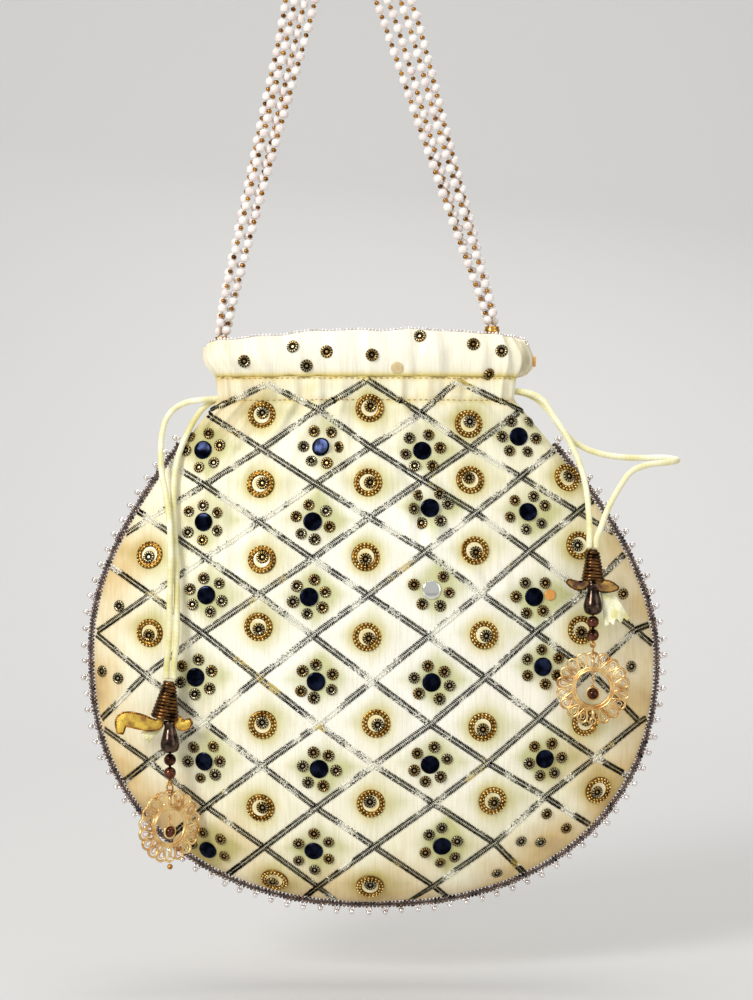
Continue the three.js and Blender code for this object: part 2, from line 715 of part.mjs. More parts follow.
for (const hanging of tassels) {
  const { name, coneHeight, coneRadius, lean, turn } = hanging;
  const hang = new THREE.Group();
  hang.position.set(...tasselTop(hanging));
  group.add(hang);
  const { bellLength, beadRadius, eyeRadius, linkRadius, wireRadius, pendantRadius } = tassel;

  const cap = addPiece(`${name}_cone`, cone(coneHeight, coneRadius), finish.bronze, hang);
  cap.rotation.y = THREE.MathUtils.degToRad(lean);

  const bellTop = -coneHeight - gap - 0.1;
  const upperBead = bellTop - bellLength - gap - beadRadius;
  const lowerBead = upperBead - 2 * beadRadius - gap;
  const eye = lowerBead - beadRadius - gap - wireRadius - eyeRadius;
  const linkMiddle = eye - linkRadius;
  const pendantMiddle = linkMiddle - linkRadius - pendantRadius + tassel.linkHoleDrop;
  const pinTop = -tassel.coneWall - gap - 0.2;

  addPiece(`${name}_bell`, bell(), finish.bronze, hang).position.z = bellTop;
  addPiece(`${name}_upper_bead`, bead(), finish.gold, hang).position.z = upperBead;
  addPiece(`${name}_lower_bead`, bead(), finish.gold, hang).position.z = lowerBead;

  const swing = new THREE.Group();
  swing.rotation.z = THREE.MathUtils.degToRad(turn);
  hang.add(swing);
  addPiece(`${name}_pin`, pin(pinTop, eye), finish.gold, swing);
  addPiece(`${name}_link`, link(), finish.gold, swing).position.z = linkMiddle;
  addPiece(`${name}_pendant`, pendant(), finish.gold, swing).position.z = pendantMiddle;
  addPiece(`${name}_charm_ball`, charmBall(), finish.gold, swing).position.z = pendantMiddle;
  const dropBead = new THREE.SphereGeometry(tassel.dropBeadRadius, 8, 6);
  const dropHeight = pendantMiddle - pendantRadius - gap - tassel.dropBeadRadius;
  addPiece(`${name}_drop_bead`, dropBead, finish.gold, swing).position.z = dropHeight;

  for (const [part, cut] of Object.entries(leaves[name])) {
    const cloth = part === 'ribbon' ? finish.silk : finish.brocade;
    addPiece(`${name}_${part}`, leaf(cut), cloth, hang);
  }
}

export default group;
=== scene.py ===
"""Potli bag: the looks of an embroidered drawstring pouch, built around its CAD frame.

Metres, with X to the right, Y to the back and Z up, as in the frame. The origin is the
underside of the innermost handle strand, where it hangs over whatever carries the bag.
"""
import logging
import math
from dataclasses import dataclass, field
from enum import Enum
from typing import Callable, Iterable, Sequence, Union

import bmesh
import bpy
import numpy as np
from mathutils import Euler, Matrix, Vector, noise


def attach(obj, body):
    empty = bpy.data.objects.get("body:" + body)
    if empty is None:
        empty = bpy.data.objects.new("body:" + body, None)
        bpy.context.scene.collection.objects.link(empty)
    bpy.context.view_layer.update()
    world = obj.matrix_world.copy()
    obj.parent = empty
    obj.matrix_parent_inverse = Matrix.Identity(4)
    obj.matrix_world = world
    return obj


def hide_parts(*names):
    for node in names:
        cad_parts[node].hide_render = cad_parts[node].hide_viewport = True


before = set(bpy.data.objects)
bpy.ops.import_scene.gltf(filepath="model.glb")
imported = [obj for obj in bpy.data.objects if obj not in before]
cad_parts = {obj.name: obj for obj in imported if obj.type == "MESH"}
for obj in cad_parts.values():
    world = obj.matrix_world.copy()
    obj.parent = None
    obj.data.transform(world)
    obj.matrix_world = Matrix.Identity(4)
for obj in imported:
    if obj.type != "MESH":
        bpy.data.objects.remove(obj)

log = logging.getLogger("potli_bag")
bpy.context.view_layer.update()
MM = 0.001
RGBA = tuple[float, float, float, float]
Place = Sequence[float]


def colour(red: int, green: int, blue: int) -> RGBA:
    """Turns an 8-bit display colour into linear values.

    Args:
        red: Red from 0 to 255.
        green: Green from 0 to 255.
        blue: Blue from 0 to 255.

    Returns:
        The linear colour with full opacity.
    """

    def linear(value: int) -> float:
        """Gives one channel's linear value."""
        share = value / 255
        return share / 12.92 if share <= 0.04045 else ((share + 0.055) / 1.055) ** 2.4

    return (linear(red), linear(green), linear(blue), 1.0)


def lerp(a: float, b: float, share: float) -> float:
    """Gives the value that lies share of the way from a to b."""
    return a + (b - a) * share


class Graph:
    """Adds and joins the nodes of a material or of a geometry tree."""

    def __init__(self, tree: bpy.types.NodeTree) -> None:
        """Keeps the tree.

        Args:
            tree: The tree that nodes are added to.
        """
        self.tree = tree

    def add(self, kind: str, inputs: dict | None = None, **settings) -> bpy.types.Node:
        """Adds a node, sets it up and joins its inputs.

        Args:
            kind: The node's type name.
            inputs: A value, socket or node for each input, by name or place.
            **settings: The node's own settings.

        Returns:
            The new node.
        """
        node = self.tree.nodes.new(kind)
        for name, value in settings.items():
            setattr(node, name, value)
        for name, value in (inputs or {}).items():
            socket = node.inputs[name]
            if isinstance(value, bpy.types.Node):
                value = value.outputs[0]
            if isinstance(value, bpy.types.NodeSocket):
                self.tree.links.new(value, socket)
            else:
                socket.default_value = value
        return node

    def math(self, operation: str, *values) -> bpy.types.Node:
        """Adds a Math node on the values."""
        return self.add("ShaderNodeMath", dict(enumerate(values)), operation=operation)

    def vector(self, operation: str, *values) -> bpy.types.Node:
        """Adds a Vector Math node on the values."""
        return self.add("ShaderNodeVectorMath", dict(enumerate(values)), operation=operation)

    def scaled(self, vector, factor) -> bpy.types.Node:
        """Adds a Vector Math node that scales a vector."""
        return self.add("ShaderNodeVectorMath", {0: vector, "Scale": factor}, operation="SCALE")

    def ramp(self, factor, stops: Sequence[tuple[float, RGBA]]) -> bpy.types.Node:
        """Adds a colour ramp.

        Args:
            factor: The socket or node that drives it.
            stops: The position and colour of each stop.

        Returns:
            The ramp's node.
        """
        node = self.add("ShaderNodeValToRGB", {"Fac": factor})
        elements = node.color_ramp.elements
        while len(elements) < len(stops):
            elements.new(0.5)
        for element, (position, value) in zip(elements, stops):
            element.position = position
            element.color = value
        return node

    def blend(self, kind: str, factor, first, second) -> bpy.types.NodeSocket:
        """Adds a colour mix and gives its result."""
        node = self.add("ShaderNodeMix", data_type="RGBA", blend_type=kind)
        for place, value in ((0, factor), (6, first), (7, second)):
            if isinstance(value, bpy.types.Node):
                value = value.outputs[0]
            if isinstance(value, bpy.types.NodeSocket):
                self.tree.links.new(value, node.inputs[place])
            else:
                node.inputs[place].default_value = value
        return node.outputs[2]


class Finish:
    """A finish that makes its node material once."""

    name: str
    slot: str

    def material(self) -> bpy.types.Material:
        """Gives the finish's material, which is made on first use."""
        known = bpy.data.materials.get(self.name)
        if known is not None:
            return known
        material = bpy.data.materials.new(self.name)
        material.use_nodes = True
        material.node_tree.nodes.clear()
        graph = Graph(material.node_tree)
        shader = graph.add("ShaderNodeBsdfPrincipled")
        graph.add("ShaderNodeOutputMaterial", {"Surface": shader})
        self.paint(graph, shader)
        return material

    def paint(self, graph: Graph, shader: bpy.types.Node) -> None:
        """Builds the nodes in front of the shader."""
        raise NotImplementedError


@dataclass(frozen=True)
class Woven(Finish):
    """Cloth with a visible weave and slubs, with a painted pool of light in the middle and a darker tan edge
    that is partly painted shade and partly staining.
    """

    name: str
    slot: str
    light: RGBA
    middle: RGBA
    edge: RGBA
    thread: float = 0.85 * MM
    roughness: float = 0.5
    sheen: float = 0.35
    relief: float = 0.35
    slubs: float = 0.26
    weave: float = 0.16
    scorch: RGBA = field(default_factory=lambda: colour(128, 78, 36))
    # Colour of the painted shade round the gold sequins, along the seams and at the frill's foot.
    stain: RGBA = field(default_factory=lambda: colour(230, 214, 118))
    # Colour of the painted greenish shade in the lattice cells.
    tint: RGBA = field(default_factory=lambda: colour(208, 211, 166))
    centre: tuple[float, float, float] = (0.0128, 0.0, -0.276)
    reach: tuple[float, float] = (0.118, 0.112)
    rise: float = 0.15

    def paint(self, graph: Graph, shader: bpy.types.Node) -> None:
        """Builds the weave, the slubs, the painted pool of light with the darker edge, and the painted shade
        from the mesh.
        """
        place = graph.add("ShaderNodeTexCoord").outputs["Object"]
        centred = graph.vector("SUBTRACT", place, self.centre)
        split = graph.add("ShaderNodeSeparateXYZ", {"Vector": centred})
        above = graph.math("MULTIPLY", graph.math("MAXIMUM", split.outputs["Z"], 0.0), 1 / self.rise)
        below = graph.math("MULTIPLY", graph.math("MINIMUM", split.outputs["Z"], 0.0), 1 / self.reach[1])
        aside = graph.math("MULTIPLY", split.outputs["X"], 1 / self.reach[0])
        spread = graph.add(
            "ShaderNodeCombineXYZ", {"X": aside, "Z": graph.math("ADD", above, below)}
        )
        radius = graph.vector("LENGTH", spread).outputs["Value"]
        cloud = graph.add("ShaderNodeTexNoise", {"Vector": place, "Scale": 34.0, "Detail": 3.0})
        worn = graph.math("MULTIPLY_ADD", cloud.outputs["Fac"], 0.7, -0.35)
        # Painted light: the pale middle of this ramp is a painted pool of light. The tan towards the edge is
        # partly painted shade and partly staining, and the scorch marks are real stains.
        stops = [
            (0.21, self.light), (0.52, self.middle), (0.69, self.edge), (0.87, self.scorch),
        ]  # fmt: skip
        share = graph.math("MULTIPLY", graph.math("ADD", radius, worn), 0.71)
        ground = graph.ramp(share, stops)
        stretched = graph.add("ShaderNodeMapping", {"Vector": place, "Scale": (1150, 90, 90)})
        slub = graph.add("ShaderNodeTexNoise", {"Vector": stretched, "Scale": 1.0, "Detail": 2.0})
        shade = graph.ramp(slub.outputs["Fac"], [(0.36, colour(222, 214, 190)), (0.56, (1, 1, 1, 1))])
        base = graph.blend("MULTIPLY", self.slubs, ground, shade)
        wave = 0.314 / self.thread
        rows = [
            graph.add(
                "ShaderNodeTexWave",
                {"Vector": place, "Scale": wave, "Distortion": 0.6, "Detail": 1.0},
                bands_direction=axis,
            )
            for axis in ("X", "Z")
        ]
        weave = graph.math("MULTIPLY", rows[0].outputs["Fac"], rows[1].outputs["Fac"])
        tone = graph.ramp(weave, [(0.0, colour(226, 219, 196)), (0.45, (1, 1, 1, 1))])
        base = graph.blend("MULTIPLY", self.weave, base, tone)
        # Painted shade: a warm yellow darkening round the gold sequins, along the seams, in the neck's
        # gathers and at the frill's foot.
        stain = graph.add("ShaderNodeAttribute", attribute_name="stain").outputs["Fac"]
        base = graph.blend("MULTIPLY", stain, base, self.stain)
        # Painted shade: the tint attribute lays a greenish shade over one side of each lattice cell.
        tint = graph.add("ShaderNodeAttribute", attribute_name="tint").outputs["Fac"]
        base = graph.blend("MULTIPLY", tint, base, self.tint)
        height = graph.math("ADD", weave, graph.math("MULTIPLY", slub.outputs["Fac"], 1.2))
        bump = graph.add(
            "ShaderNodeBump", {"Height": height, "Strength": self.relief, "Distance": 0.12 * MM}
        )
        graph.tree.links.new(base, shader.inputs["Base Color"])
        graph.tree.links.new(bump.outputs[0], shader.inputs["Normal"])
        shader.inputs["Roughness"].default_value = self.roughness
        shader.inputs["Sheen Weight"].default_value = self.sheen
        shader.inputs["Sheen Roughness"].default_value = 0.4


@dataclass(frozen=True)
class Metal(Finish):
    """Plated metal with a grain and a darker patina."""

    name: str
    slot: str
    bright: RGBA
    dark: RGBA
    roughness: float = 0.25
    grain: float = 900.0
    patina: float = 0.5
    relief: float = 0.15

    def paint(self, graph: Graph, shader: bpy.types.Node) -> None:
        """Builds the patina, the grain and the uneven polish."""
        place = graph.add("ShaderNodeTexCoord").outputs["Object"]
        spots = graph.add(
            "ShaderNodeTexNoise", {"Vector": place, "Scale": self.grain * 0.4, "Detail": 3.0}
        )
        stops = [(self.patina - 0.16, self.dark), (self.patina + 0.12, self.bright)]
        base = graph.ramp(spots.outputs["Fac"], stops)
        grain = graph.add(
            "ShaderNodeTexNoise", {"Vector": place, "Scale": self.grain, "Detail": 2.0}
        )
        polish = graph.math("MULTIPLY_ADD", grain.outputs["Fac"], 0.25, self.roughness - 0.12)
        bump = graph.add(
            "ShaderNodeBump",
            {"Height": grain.outputs["Fac"], "Strength": self.relief, "Distance": 0.15 * MM},
        )
        graph.tree.links.new(base.outputs[0], shader.inputs["Base Color"])
        graph.tree.links.new(polish.outputs[0], shader.inputs["Roughness"])
        graph.tree.links.new(bump.outputs[0], shader.inputs["Normal"])
        shader.inputs["Metallic"].default_value = 1.0


@dataclass(frozen=True)
class Zari(Metal):
    """Metal thread with painted glints: bright stretches painted into its colour."""

    glint: RGBA = field(default_factory=lambda: colour(250, 249, 236))
    gilt: RGBA = field(default_factory=lambda: colour(214, 190, 84))
    stretch: float = 105.0
    brightest: tuple[float, float, float] = (0.0, 0.0, -0.235)
    fading: float = 0.62

    def paint(self, graph: Graph, shader: bpy.types.Node) -> None:
        """Builds the dark thread and lays the painted glints over it."""
        super().paint(graph, shader)
        place = graph.add("ShaderNodeTexCoord").outputs["Object"]
        long = graph.add(
            "ShaderNodeTexNoise", {"Vector": place, "Scale": self.stretch, "Detail": 1.0}
        )
        fine = graph.add("ShaderNodeTexNoise", {"Vector": place, "Scale": 1500.0, "Detail": 1.0})
        broken = graph.math("MULTIPLY", fine.outputs["Fac"], 0.35)
        uneven = graph.math("MULTIPLY_ADD", long.outputs["Fac"], 0.65, broken)
        # Painted highlights: the glints grow fewer away from one place on the front, a painted pool of
        # light. Some of them are painted gold.
        away = graph.vector("DISTANCE", place, self.brightest).outputs["Value"]
        share = graph.math("MULTIPLY_ADD", away, -self.fading, graph.math("ADD", uneven, 0.03))
        bright = graph.ramp(share, [(0.505, (0, 0, 0, 1)), (0.54, (1, 1, 1, 1))])
        rare = graph.add("ShaderNodeTexNoise", {"Vector": place, "Scale": 64.0, "Detail": 0.0})
        golden = graph.ramp(rare.outputs["Fac"], [(0.64, (0, 0, 0, 1)), (0.68, (1, 1, 1, 1))])
        painted_glint_colour = graph.blend("MIX", golden, self.glint, self.gilt)
        dark = shader.inputs["Base Color"].links[0].from_socket
        graph.tree.links.new(graph.blend("MIX", bright, dark, painted_glint_colour), shader.inputs["Base Color"])
        metal = graph.math("MULTIPLY_ADD", bright, -0.75, 1.0)
        graph.tree.links.new(metal.outputs[0], shader.inputs["Metallic"])


@dataclass(frozen=True)
class Struck(Metal):
    """Small struck metal: bright ticks round a dark ring, with a bright middle. The ticks are painted
    highlights on the rim's ridges, over a ring that is partly dark metal and partly painted groove shade,
    and the middle is a painted highlight.
    """

    ticks: float = 13.0
    inner: float = 0.56
    middle: float = 0.2
    pale: RGBA = field(default_factory=lambda: colour(212, 198, 158))

    def paint(self, graph: Graph, shader: bpy.types.Node) -> None:
        """Builds the painted ridge highlights, groove shade and middle highlight from the motif's own
        coordinates.
        """
        own = graph.add("ShaderNodeAttribute", attribute_name="own").outputs["Vector"]
        split = graph.add("ShaderNodeSeparateXYZ", {"Vector": own})
        flat = graph.vector("MULTIPLY", own, (1.0, 1.0, 0.0))
        radius = graph.vector("LENGTH", flat).outputs["Value"]
        angle = graph.math("ARCTAN2", split.outputs["Y"], split.outputs["X"])
        # Painted highlight and shade: the ticks are lit ridges of the serrated rim with painted shade
        # between them, and the middle dot is a painted glint.
        wave = graph.math("COSINE", graph.math("MULTIPLY", angle, self.ticks))
        tick = graph.math("GREATER_THAN", wave, 0.1)
        rim = graph.math("GREATER_THAN", radius, self.inner)
        dot = graph.math("LESS_THAN", radius, self.middle)
        mark = graph.math("MAXIMUM", graph.math("MULTIPLY", tick, rim), dot)
        place = graph.add("ShaderNodeTexCoord").outputs["Object"]
        worn = graph.add("ShaderNodeTexNoise", {"Vector": place, "Scale": 260.0, "Detail": 2.0})
        weak = graph.math("MULTIPLY_ADD", worn.outputs["Fac"], 0.9, 0.2)
        shown = graph.math("MULTIPLY", mark, weak)
        cloud = graph.add("ShaderNodeTexNoise", {"Vector": place, "Scale": 90.0, "Detail": 1.0})
        paler = graph.ramp(cloud.outputs["Fac"], [(0.42, (0, 0, 0, 1)), (0.58, (1, 1, 1, 1))])
        struck = graph.blend("MIX", paler, self.bright, self.pale)
        base = graph.blend("MIX", shown, self.dark, struck)
        bump = graph.add(
            "ShaderNodeBump", {"Height": mark, "Strength": 0.5, "Distance": 0.25 * MM}
        )
        graph.tree.links.new(base, shader.inputs["Base Color"])
        graph.tree.links.new(bump.outputs[0], shader.inputs["Normal"])
        shader.inputs["Metallic"].default_value = 1.0
        shader.inputs["Roughness"].default_value = self.roughness


@dataclass(frozen=True)
class Pearl(Finish):
    """A coated round bead with a soft, slightly uneven lustre."""

    name: str
    slot: str
    light: RGBA
    dark: RGBA
    roughness: float = 0.22
    coat: float = 0.8

    def paint(self, graph: Graph, shader: bpy.types.Node) -> None:
        """Builds the cloudy ground under the coat."""
        place = graph.add("ShaderNodeTexCoord").outputs["Object"]
        cloud = graph.add("ShaderNodeTexNoise", {"Vector": place, "Scale": 210.0, "Detail": 2.0})
        base = graph.ramp(cloud.outputs["Fac"], [(0.35, self.dark), (0.6, self.light)])
        graph.tree.links.new(base.outputs[0], shader.inputs["Base Color"])
        shader.inputs["Roughness"].default_value = self.roughness
        shader.inputs["Coat Weight"].default_value = self.coat
        shader.inputs["Coat Roughness"].default_value = 0.12
        shader.inputs["Sheen Weight"].default_value = 0.2


@dataclass(frozen=True)
class Satin(Finish):
    """Round satin cord, with fine fibres that run round it on a slant."""

    name: str
    slot: str
    light: RGBA
    groove: RGBA
    turns: float = 620.0

    def paint(self, graph: Graph, shader: bpy.types.Node) -> None:
        """Builds the slanting fibres from the cord's own lengthwise coordinates, with a slight painted shade
        in their grooves.
        """
        cord = graph.add("ShaderNodeUVMap", uv_map="Cord")
        split = graph.add("ShaderNodeSeparateXYZ", {"Vector": cord})
        slant = graph.math("MULTIPLY_ADD", split.outputs["Y"], self.turns, split.outputs["X"])
        wave = graph.math("SINE", graph.math("MULTIPLY", slant, 2 * math.pi))
        ridge = graph.math("MULTIPLY_ADD", wave, 0.5, 0.5)
        place = graph.add("ShaderNodeTexCoord").outputs["Object"]
        cloud = graph.add("ShaderNodeTexNoise", {"Vector": place, "Scale": 120.0, "Detail": 2.0})
        # Mostly random mottling; the small ridge share darkens the grooves between fibres, a painted shade.
        mixed = graph.math("MULTIPLY_ADD", cloud.outputs["Fac"], 0.8, graph.math("MULTIPLY", ridge, 0.05))
        base = graph.ramp(mixed, [(0.25, self.groove), (0.6, self.light)])
        bump = graph.add(
            "ShaderNodeBump", {"Height": ridge, "Strength": 0.05, "Distance": 0.05 * MM}
        )
        graph.tree.links.new(base.outputs[0], shader.inputs["Base Color"])
        graph.tree.links.new(bump.outputs[0], shader.inputs["Normal"])
        shader.inputs["Roughness"].default_value = 0.38
        shader.inputs["Sheen Weight"].default_value = 0.5


@dataclass(frozen=True)
class Looking(Finish):
    """A small sewn mirror; a dark base colour gives it a painted dark reflection."""

    name: str
    slot: str
    tint: RGBA
    smear: RGBA

    def paint(self, graph: Graph, shader: bpy.types.Node) -> None:
        """Builds the base colour, smeared at random; a dark one is a painted reflection."""
        place = graph.add("ShaderNodeTexCoord").outputs["Object"]
        cloud = graph.add("ShaderNodeTexNoise", {"Vector": place, "Scale": 330.0, "Detail": 3.0})
        base = graph.ramp(cloud.outputs["Fac"], [(0.42, self.tint), (0.72, self.smear)])
        graph.tree.links.new(base.outputs[0], shader.inputs["Base Color"])
        shader.inputs["Metallic"].default_value = 1.0
        shader.inputs["Roughness"].default_value = 0.09


@dataclass(frozen=True)
class Brocade(Finish):
    """Metallic cloth with a fine rib and a mottled colour."""

    name: str
    slot: str
    light: RGBA
    dark: RGBA
    rib: float = 0.6 * MM
    metallic: float = 0.35

    def paint(self, graph: Graph, shader: bpy.types.Node) -> None:
        """Builds the rib and the mottling."""
        place = graph.add("ShaderNodeTexCoord").outputs["Object"]
        cloud = graph.add("ShaderNodeTexNoise", {"Vector": place, "Scale": 260.0, "Detail": 4.0})
        base = graph.ramp(cloud.outputs["Fac"], [(0.38, self.dark), (0.62, self.light)])
        wave = graph.add(
            "ShaderNodeTexWave",
            {"Vector": place, "Scale": 0.314 / self.rib, "Distortion": 1.5, "Detail": 1.0},
            bands_direction="DIAGONAL",
        )
        bump = graph.add(
            "ShaderNodeBump",
            {"Height": wave.outputs["Fac"], "Strength": 0.5, "Distance": 0.2 * MM},
        )
        graph.tree.links.new(base.outputs[0], shader.inputs["Base Color"])
        graph.tree.links.new(bump.outputs[0], shader.inputs["Normal"])
        shader.inputs["Metallic"].default_value = self.metallic
        shader.inputs["Roughness"].default_value = 0.45
        shader.inputs["Sheen Weight"].default_value = 0.4


SILK = Woven(
    "ivory_dupion", "silk", colour(255, 252, 240), colour(249, 243, 214), colour(224, 196, 138)
)
FRILL_SILK = Woven(
    "ivory_frill",
    "silk",
    colour(254, 250, 232),
    colour(252, 247, 224),
    colour(240, 226, 184),
    centre=(0.0096, 0.0, -0.166),
    reach=(0.075, 0.03),
)
LINING = Woven(
    "cream_lining",
    "lining",
    colour(238, 230, 200),
    colour(232, 223, 190),
    colour(214, 200, 160),
    thread=0.6 * MM,
    roughness=0.75,
    sheen=0.1,
)
SATIN = Satin("cream_satin", "satin_cord", colour(253, 250, 222), colour(222, 213, 136))
DARK_THREAD = Satin(
    "dark_thread", "silver_beads", colour(84, 66, 54), colour(34, 26, 22), turns=900
)
THREAD = Satin("white_thread", "pearl", colour(238, 230, 214), colour(176, 150, 110), turns=1400)
PEARL = Pearl("white_pearl", "pearl", colour(251, 246, 240), colour(236, 220, 214))
DISH = Pearl("cream_dish", "pearl", colour(250, 240, 196), colour(238, 220, 150), roughness=0.3)
PALE_GOLD = Metal(
    "pale_gold",
    "gold",
    colour(252, 222, 158),
    colour(196, 134, 62),
    roughness=0.3,
    grain=500,
    relief=0.02,
)
GOLD = Metal("polished_gold", "gold", colour(232, 178, 92), colour(150, 98, 40), roughness=0.2)
KASAB = Metal(
    "granulated_gold", "gold", colour(246, 218, 142), colour(176, 132, 56), roughness=0.26
)
CUP = Struck("antique_cup", "bronze", colour(214, 178, 108), colour(26, 19, 13), roughness=0.28)
OLD_GOLD = Metal("old_gold", "gold", colour(140, 98, 34), colour(70, 44, 14), roughness=0.34)
DARK_COPPER = Metal(
    "dark_copper", "bronze", colour(122, 76, 56), colour(34, 18, 16), roughness=0.1
)
BRONZE = Metal(
    "antique_bronze", "bronze", colour(124, 86, 48), colour(30, 19, 14), roughness=0.22
)
BELL = Metal("dark_bell", "bronze", colour(96, 78, 66), colour(30, 24, 22), roughness=0.12)
# The dark colours are a painted dark reflection of metal thread mirroring dark surroundings; the bright
# stretches are painted glints.
ZARI = Zari(
    "gunmetal_zari",
    "silver_beads",
    colour(92, 88, 66),
    colour(12, 12, 10),
    roughness=0.36,
    grain=500,
    patina=0.62,
)
SEED = Metal("bronze_seed", "silver_beads", colour(156, 134, 124), colour(34, 26, 24), roughness=0.2)
SILVER = Metal(
    "silver_seed", "silver_beads", colour(252, 248, 246), colour(214, 202, 198), roughness=0.24
)
COPPER_SEED = Metal("copper_seed", "gold", colour(198, 138, 58), colour(84, 48, 20))
# Painted reflection: the dark navy stands for the mirrors reflecting dark surroundings.
MIRROR = Looking("navy_mirror", "silver_beads", colour(8, 10, 18), colour(30, 36, 58))
PALE_MIRROR = Looking("pale_mirror", "silver_beads", colour(246, 246, 240), colour(252, 252, 250))
BROCADE = Brocade("gold_brocade", "brocade", colour(230, 194, 72), colour(150, 104, 34))
DARK_BROCADE = Brocade("dark_brocade", "brocade", colour(196, 152, 66), colour(84, 44, 22))
RIBBON = Brocade(
    "frayed_cream", "ribbon", colour(250, 247, 214), colour(226, 218, 140), metallic=0.0
)
BEIGE_DISC = Pearl("beige_disc", "silk", colour(226, 206, 160), colour(210, 184, 132), coat=0.2)
ORANGE_DISC = Pearl("orange_disc", "silk", colour(236, 178, 84), colour(220, 150, 60), coat=0.2)


@dataclass(frozen=True)
class Laid:
    """Where the points land on a surface that is seen from the front."""

    position: bpy.types.NodeSocket
    normal: bpy.types.NodeSocket
    hit: bpy.types.NodeSocket


def laid_on(graph: Graph, surface: bpy.types.NodeSocket, reach: float = 0.2) -> Laid:
    """Adds a ray from in front of each point to a surface.

    Args:
        graph: The geometry tree's graph.
        surface: The surface's geometry.
        reach: How far in front of the point the ray starts.

    Returns:
        The place, its normal and whether the ray met the surface.
    """
    place = graph.add("GeometryNodeInputPosition")
    start = graph.vector("SUBTRACT", place, (0.0, reach, 0.0))
    ray = graph.add("GeometryNodeRaycast")
    graph.tree.links.new(surface, ray.inputs["Target Geometry"])
    graph.tree.links.new(start.outputs[0], ray.inputs["Source Position"])
    ray.inputs["Ray Direction"].default_value = (0.0, 1.0, 0.0)
    ray.inputs["Ray Length"].default_value = 2 * reach
    return Laid(ray.outputs["Hit Position"], ray.outputs["Hit Normal"], ray.outputs["Is Hit"])


class Recipe:
    """A geometry tree with named inputs that is turned into plain meshes."""

    def __init__(self, name: str, inputs: dict[str, str]) -> None:
        """Starts the tree.

        Args:
            name: The tree's name.
            inputs: The socket kind of each named input.
        """
        self.tree = bpy.data.node_groups.new(name, "GeometryNodeTree")
        self.tree.is_modifier = True
        self.graph = Graph(self.tree)
        sockets = self.tree.interface
        sockets.new_socket("Geometry", in_out="INPUT", socket_type="NodeSocketGeometry")
        for label, kind in {**inputs, "Finish": "Material"}.items():
            sockets.new_socket(label, in_out="INPUT", socket_type=f"NodeSocket{kind}")
        sockets.new_socket("Geometry", in_out="OUTPUT", socket_type="NodeSocketGeometry")
        self.source = self.graph.add("NodeGroupInput")

    def value(self, label: str) -> bpy.types.NodeSocket:
        """Gives a named input's socket."""
        return self.source.outputs[label]

    def turned(self, rotation, euler) -> bpy.types.Node:
        """Turns a rotation about its own axes by an Euler angle."""
        by = self.graph.add("FunctionNodeEulerToRotation", {"Euler": euler})
        return self.graph.add(
            "FunctionNodeRotateRotation",
            {"Rotation": rotation, "Rotate By": by},
            rotation_space="LOCAL",
        )

    def close(self, *shapes: bpy.types.Node) -> "Recipe":
        """Joins the shapes, makes them real and dresses them.

        Args:
            *shapes: The geometry that the tree gives.

        Returns:
            The recipe itself.
        """
        joined = self.graph.add("GeometryNodeJoinGeometry")
        for shape in shapes:
            self.tree.links.new(shape.outputs[0], joined.inputs[0])
        real = self.graph.add("GeometryNodeRealizeInstances", {"Geometry": joined})
        dressed = self.graph.add(
            "GeometryNodeSetMaterial", {"Geometry": real, "Material": self.value("Finish")}
        )
        self.graph.add("NodeGroupOutput", {"Geometry": dressed})
        return self

    def make(self, name: str, base: bpy.types.Mesh, finish: Finish, **values) -> bpy.types.Object:
        """Runs the tree on a mesh and keeps the result as a plain mesh.

        Args:
            name: The new piece's name.
            base: The points or edges that the tree works on.
            finish: The finish of the result.
            **values: Each named input's value, with _ for a space.

        Returns:
            The new piece.
        """
        holder = bpy.data.objects.new(f"{name}_base", base)
        bpy.context.scene.collection.objects.link(holder)
        modifier = holder.modifiers.new("Recipe", "NODES")
        modifier.node_group = self.tree
        given = {label.replace("_", " "): value for label, value in values.items()}
        given["Finish"] = finish.material()
        for item in self.tree.interface.items_tree:
            if item.in_out == "INPUT" and item.name in given:
                modifier[item.identifier] = given[item.name]
        graph = bpy.context.evaluated_depsgraph_get()
        mesh = bpy.data.meshes.new_from_object(holder.evaluated_get(graph), depsgraph=graph)
        holder.modifiers.remove(modifier)
        bpy.data.objects.remove(holder)
        mesh.name = name
        mesh.shade_smooth()
        piece = bpy.data.objects.new(name, mesh)
        bpy.context.scene.collection.objects.link(piece)
        return piece


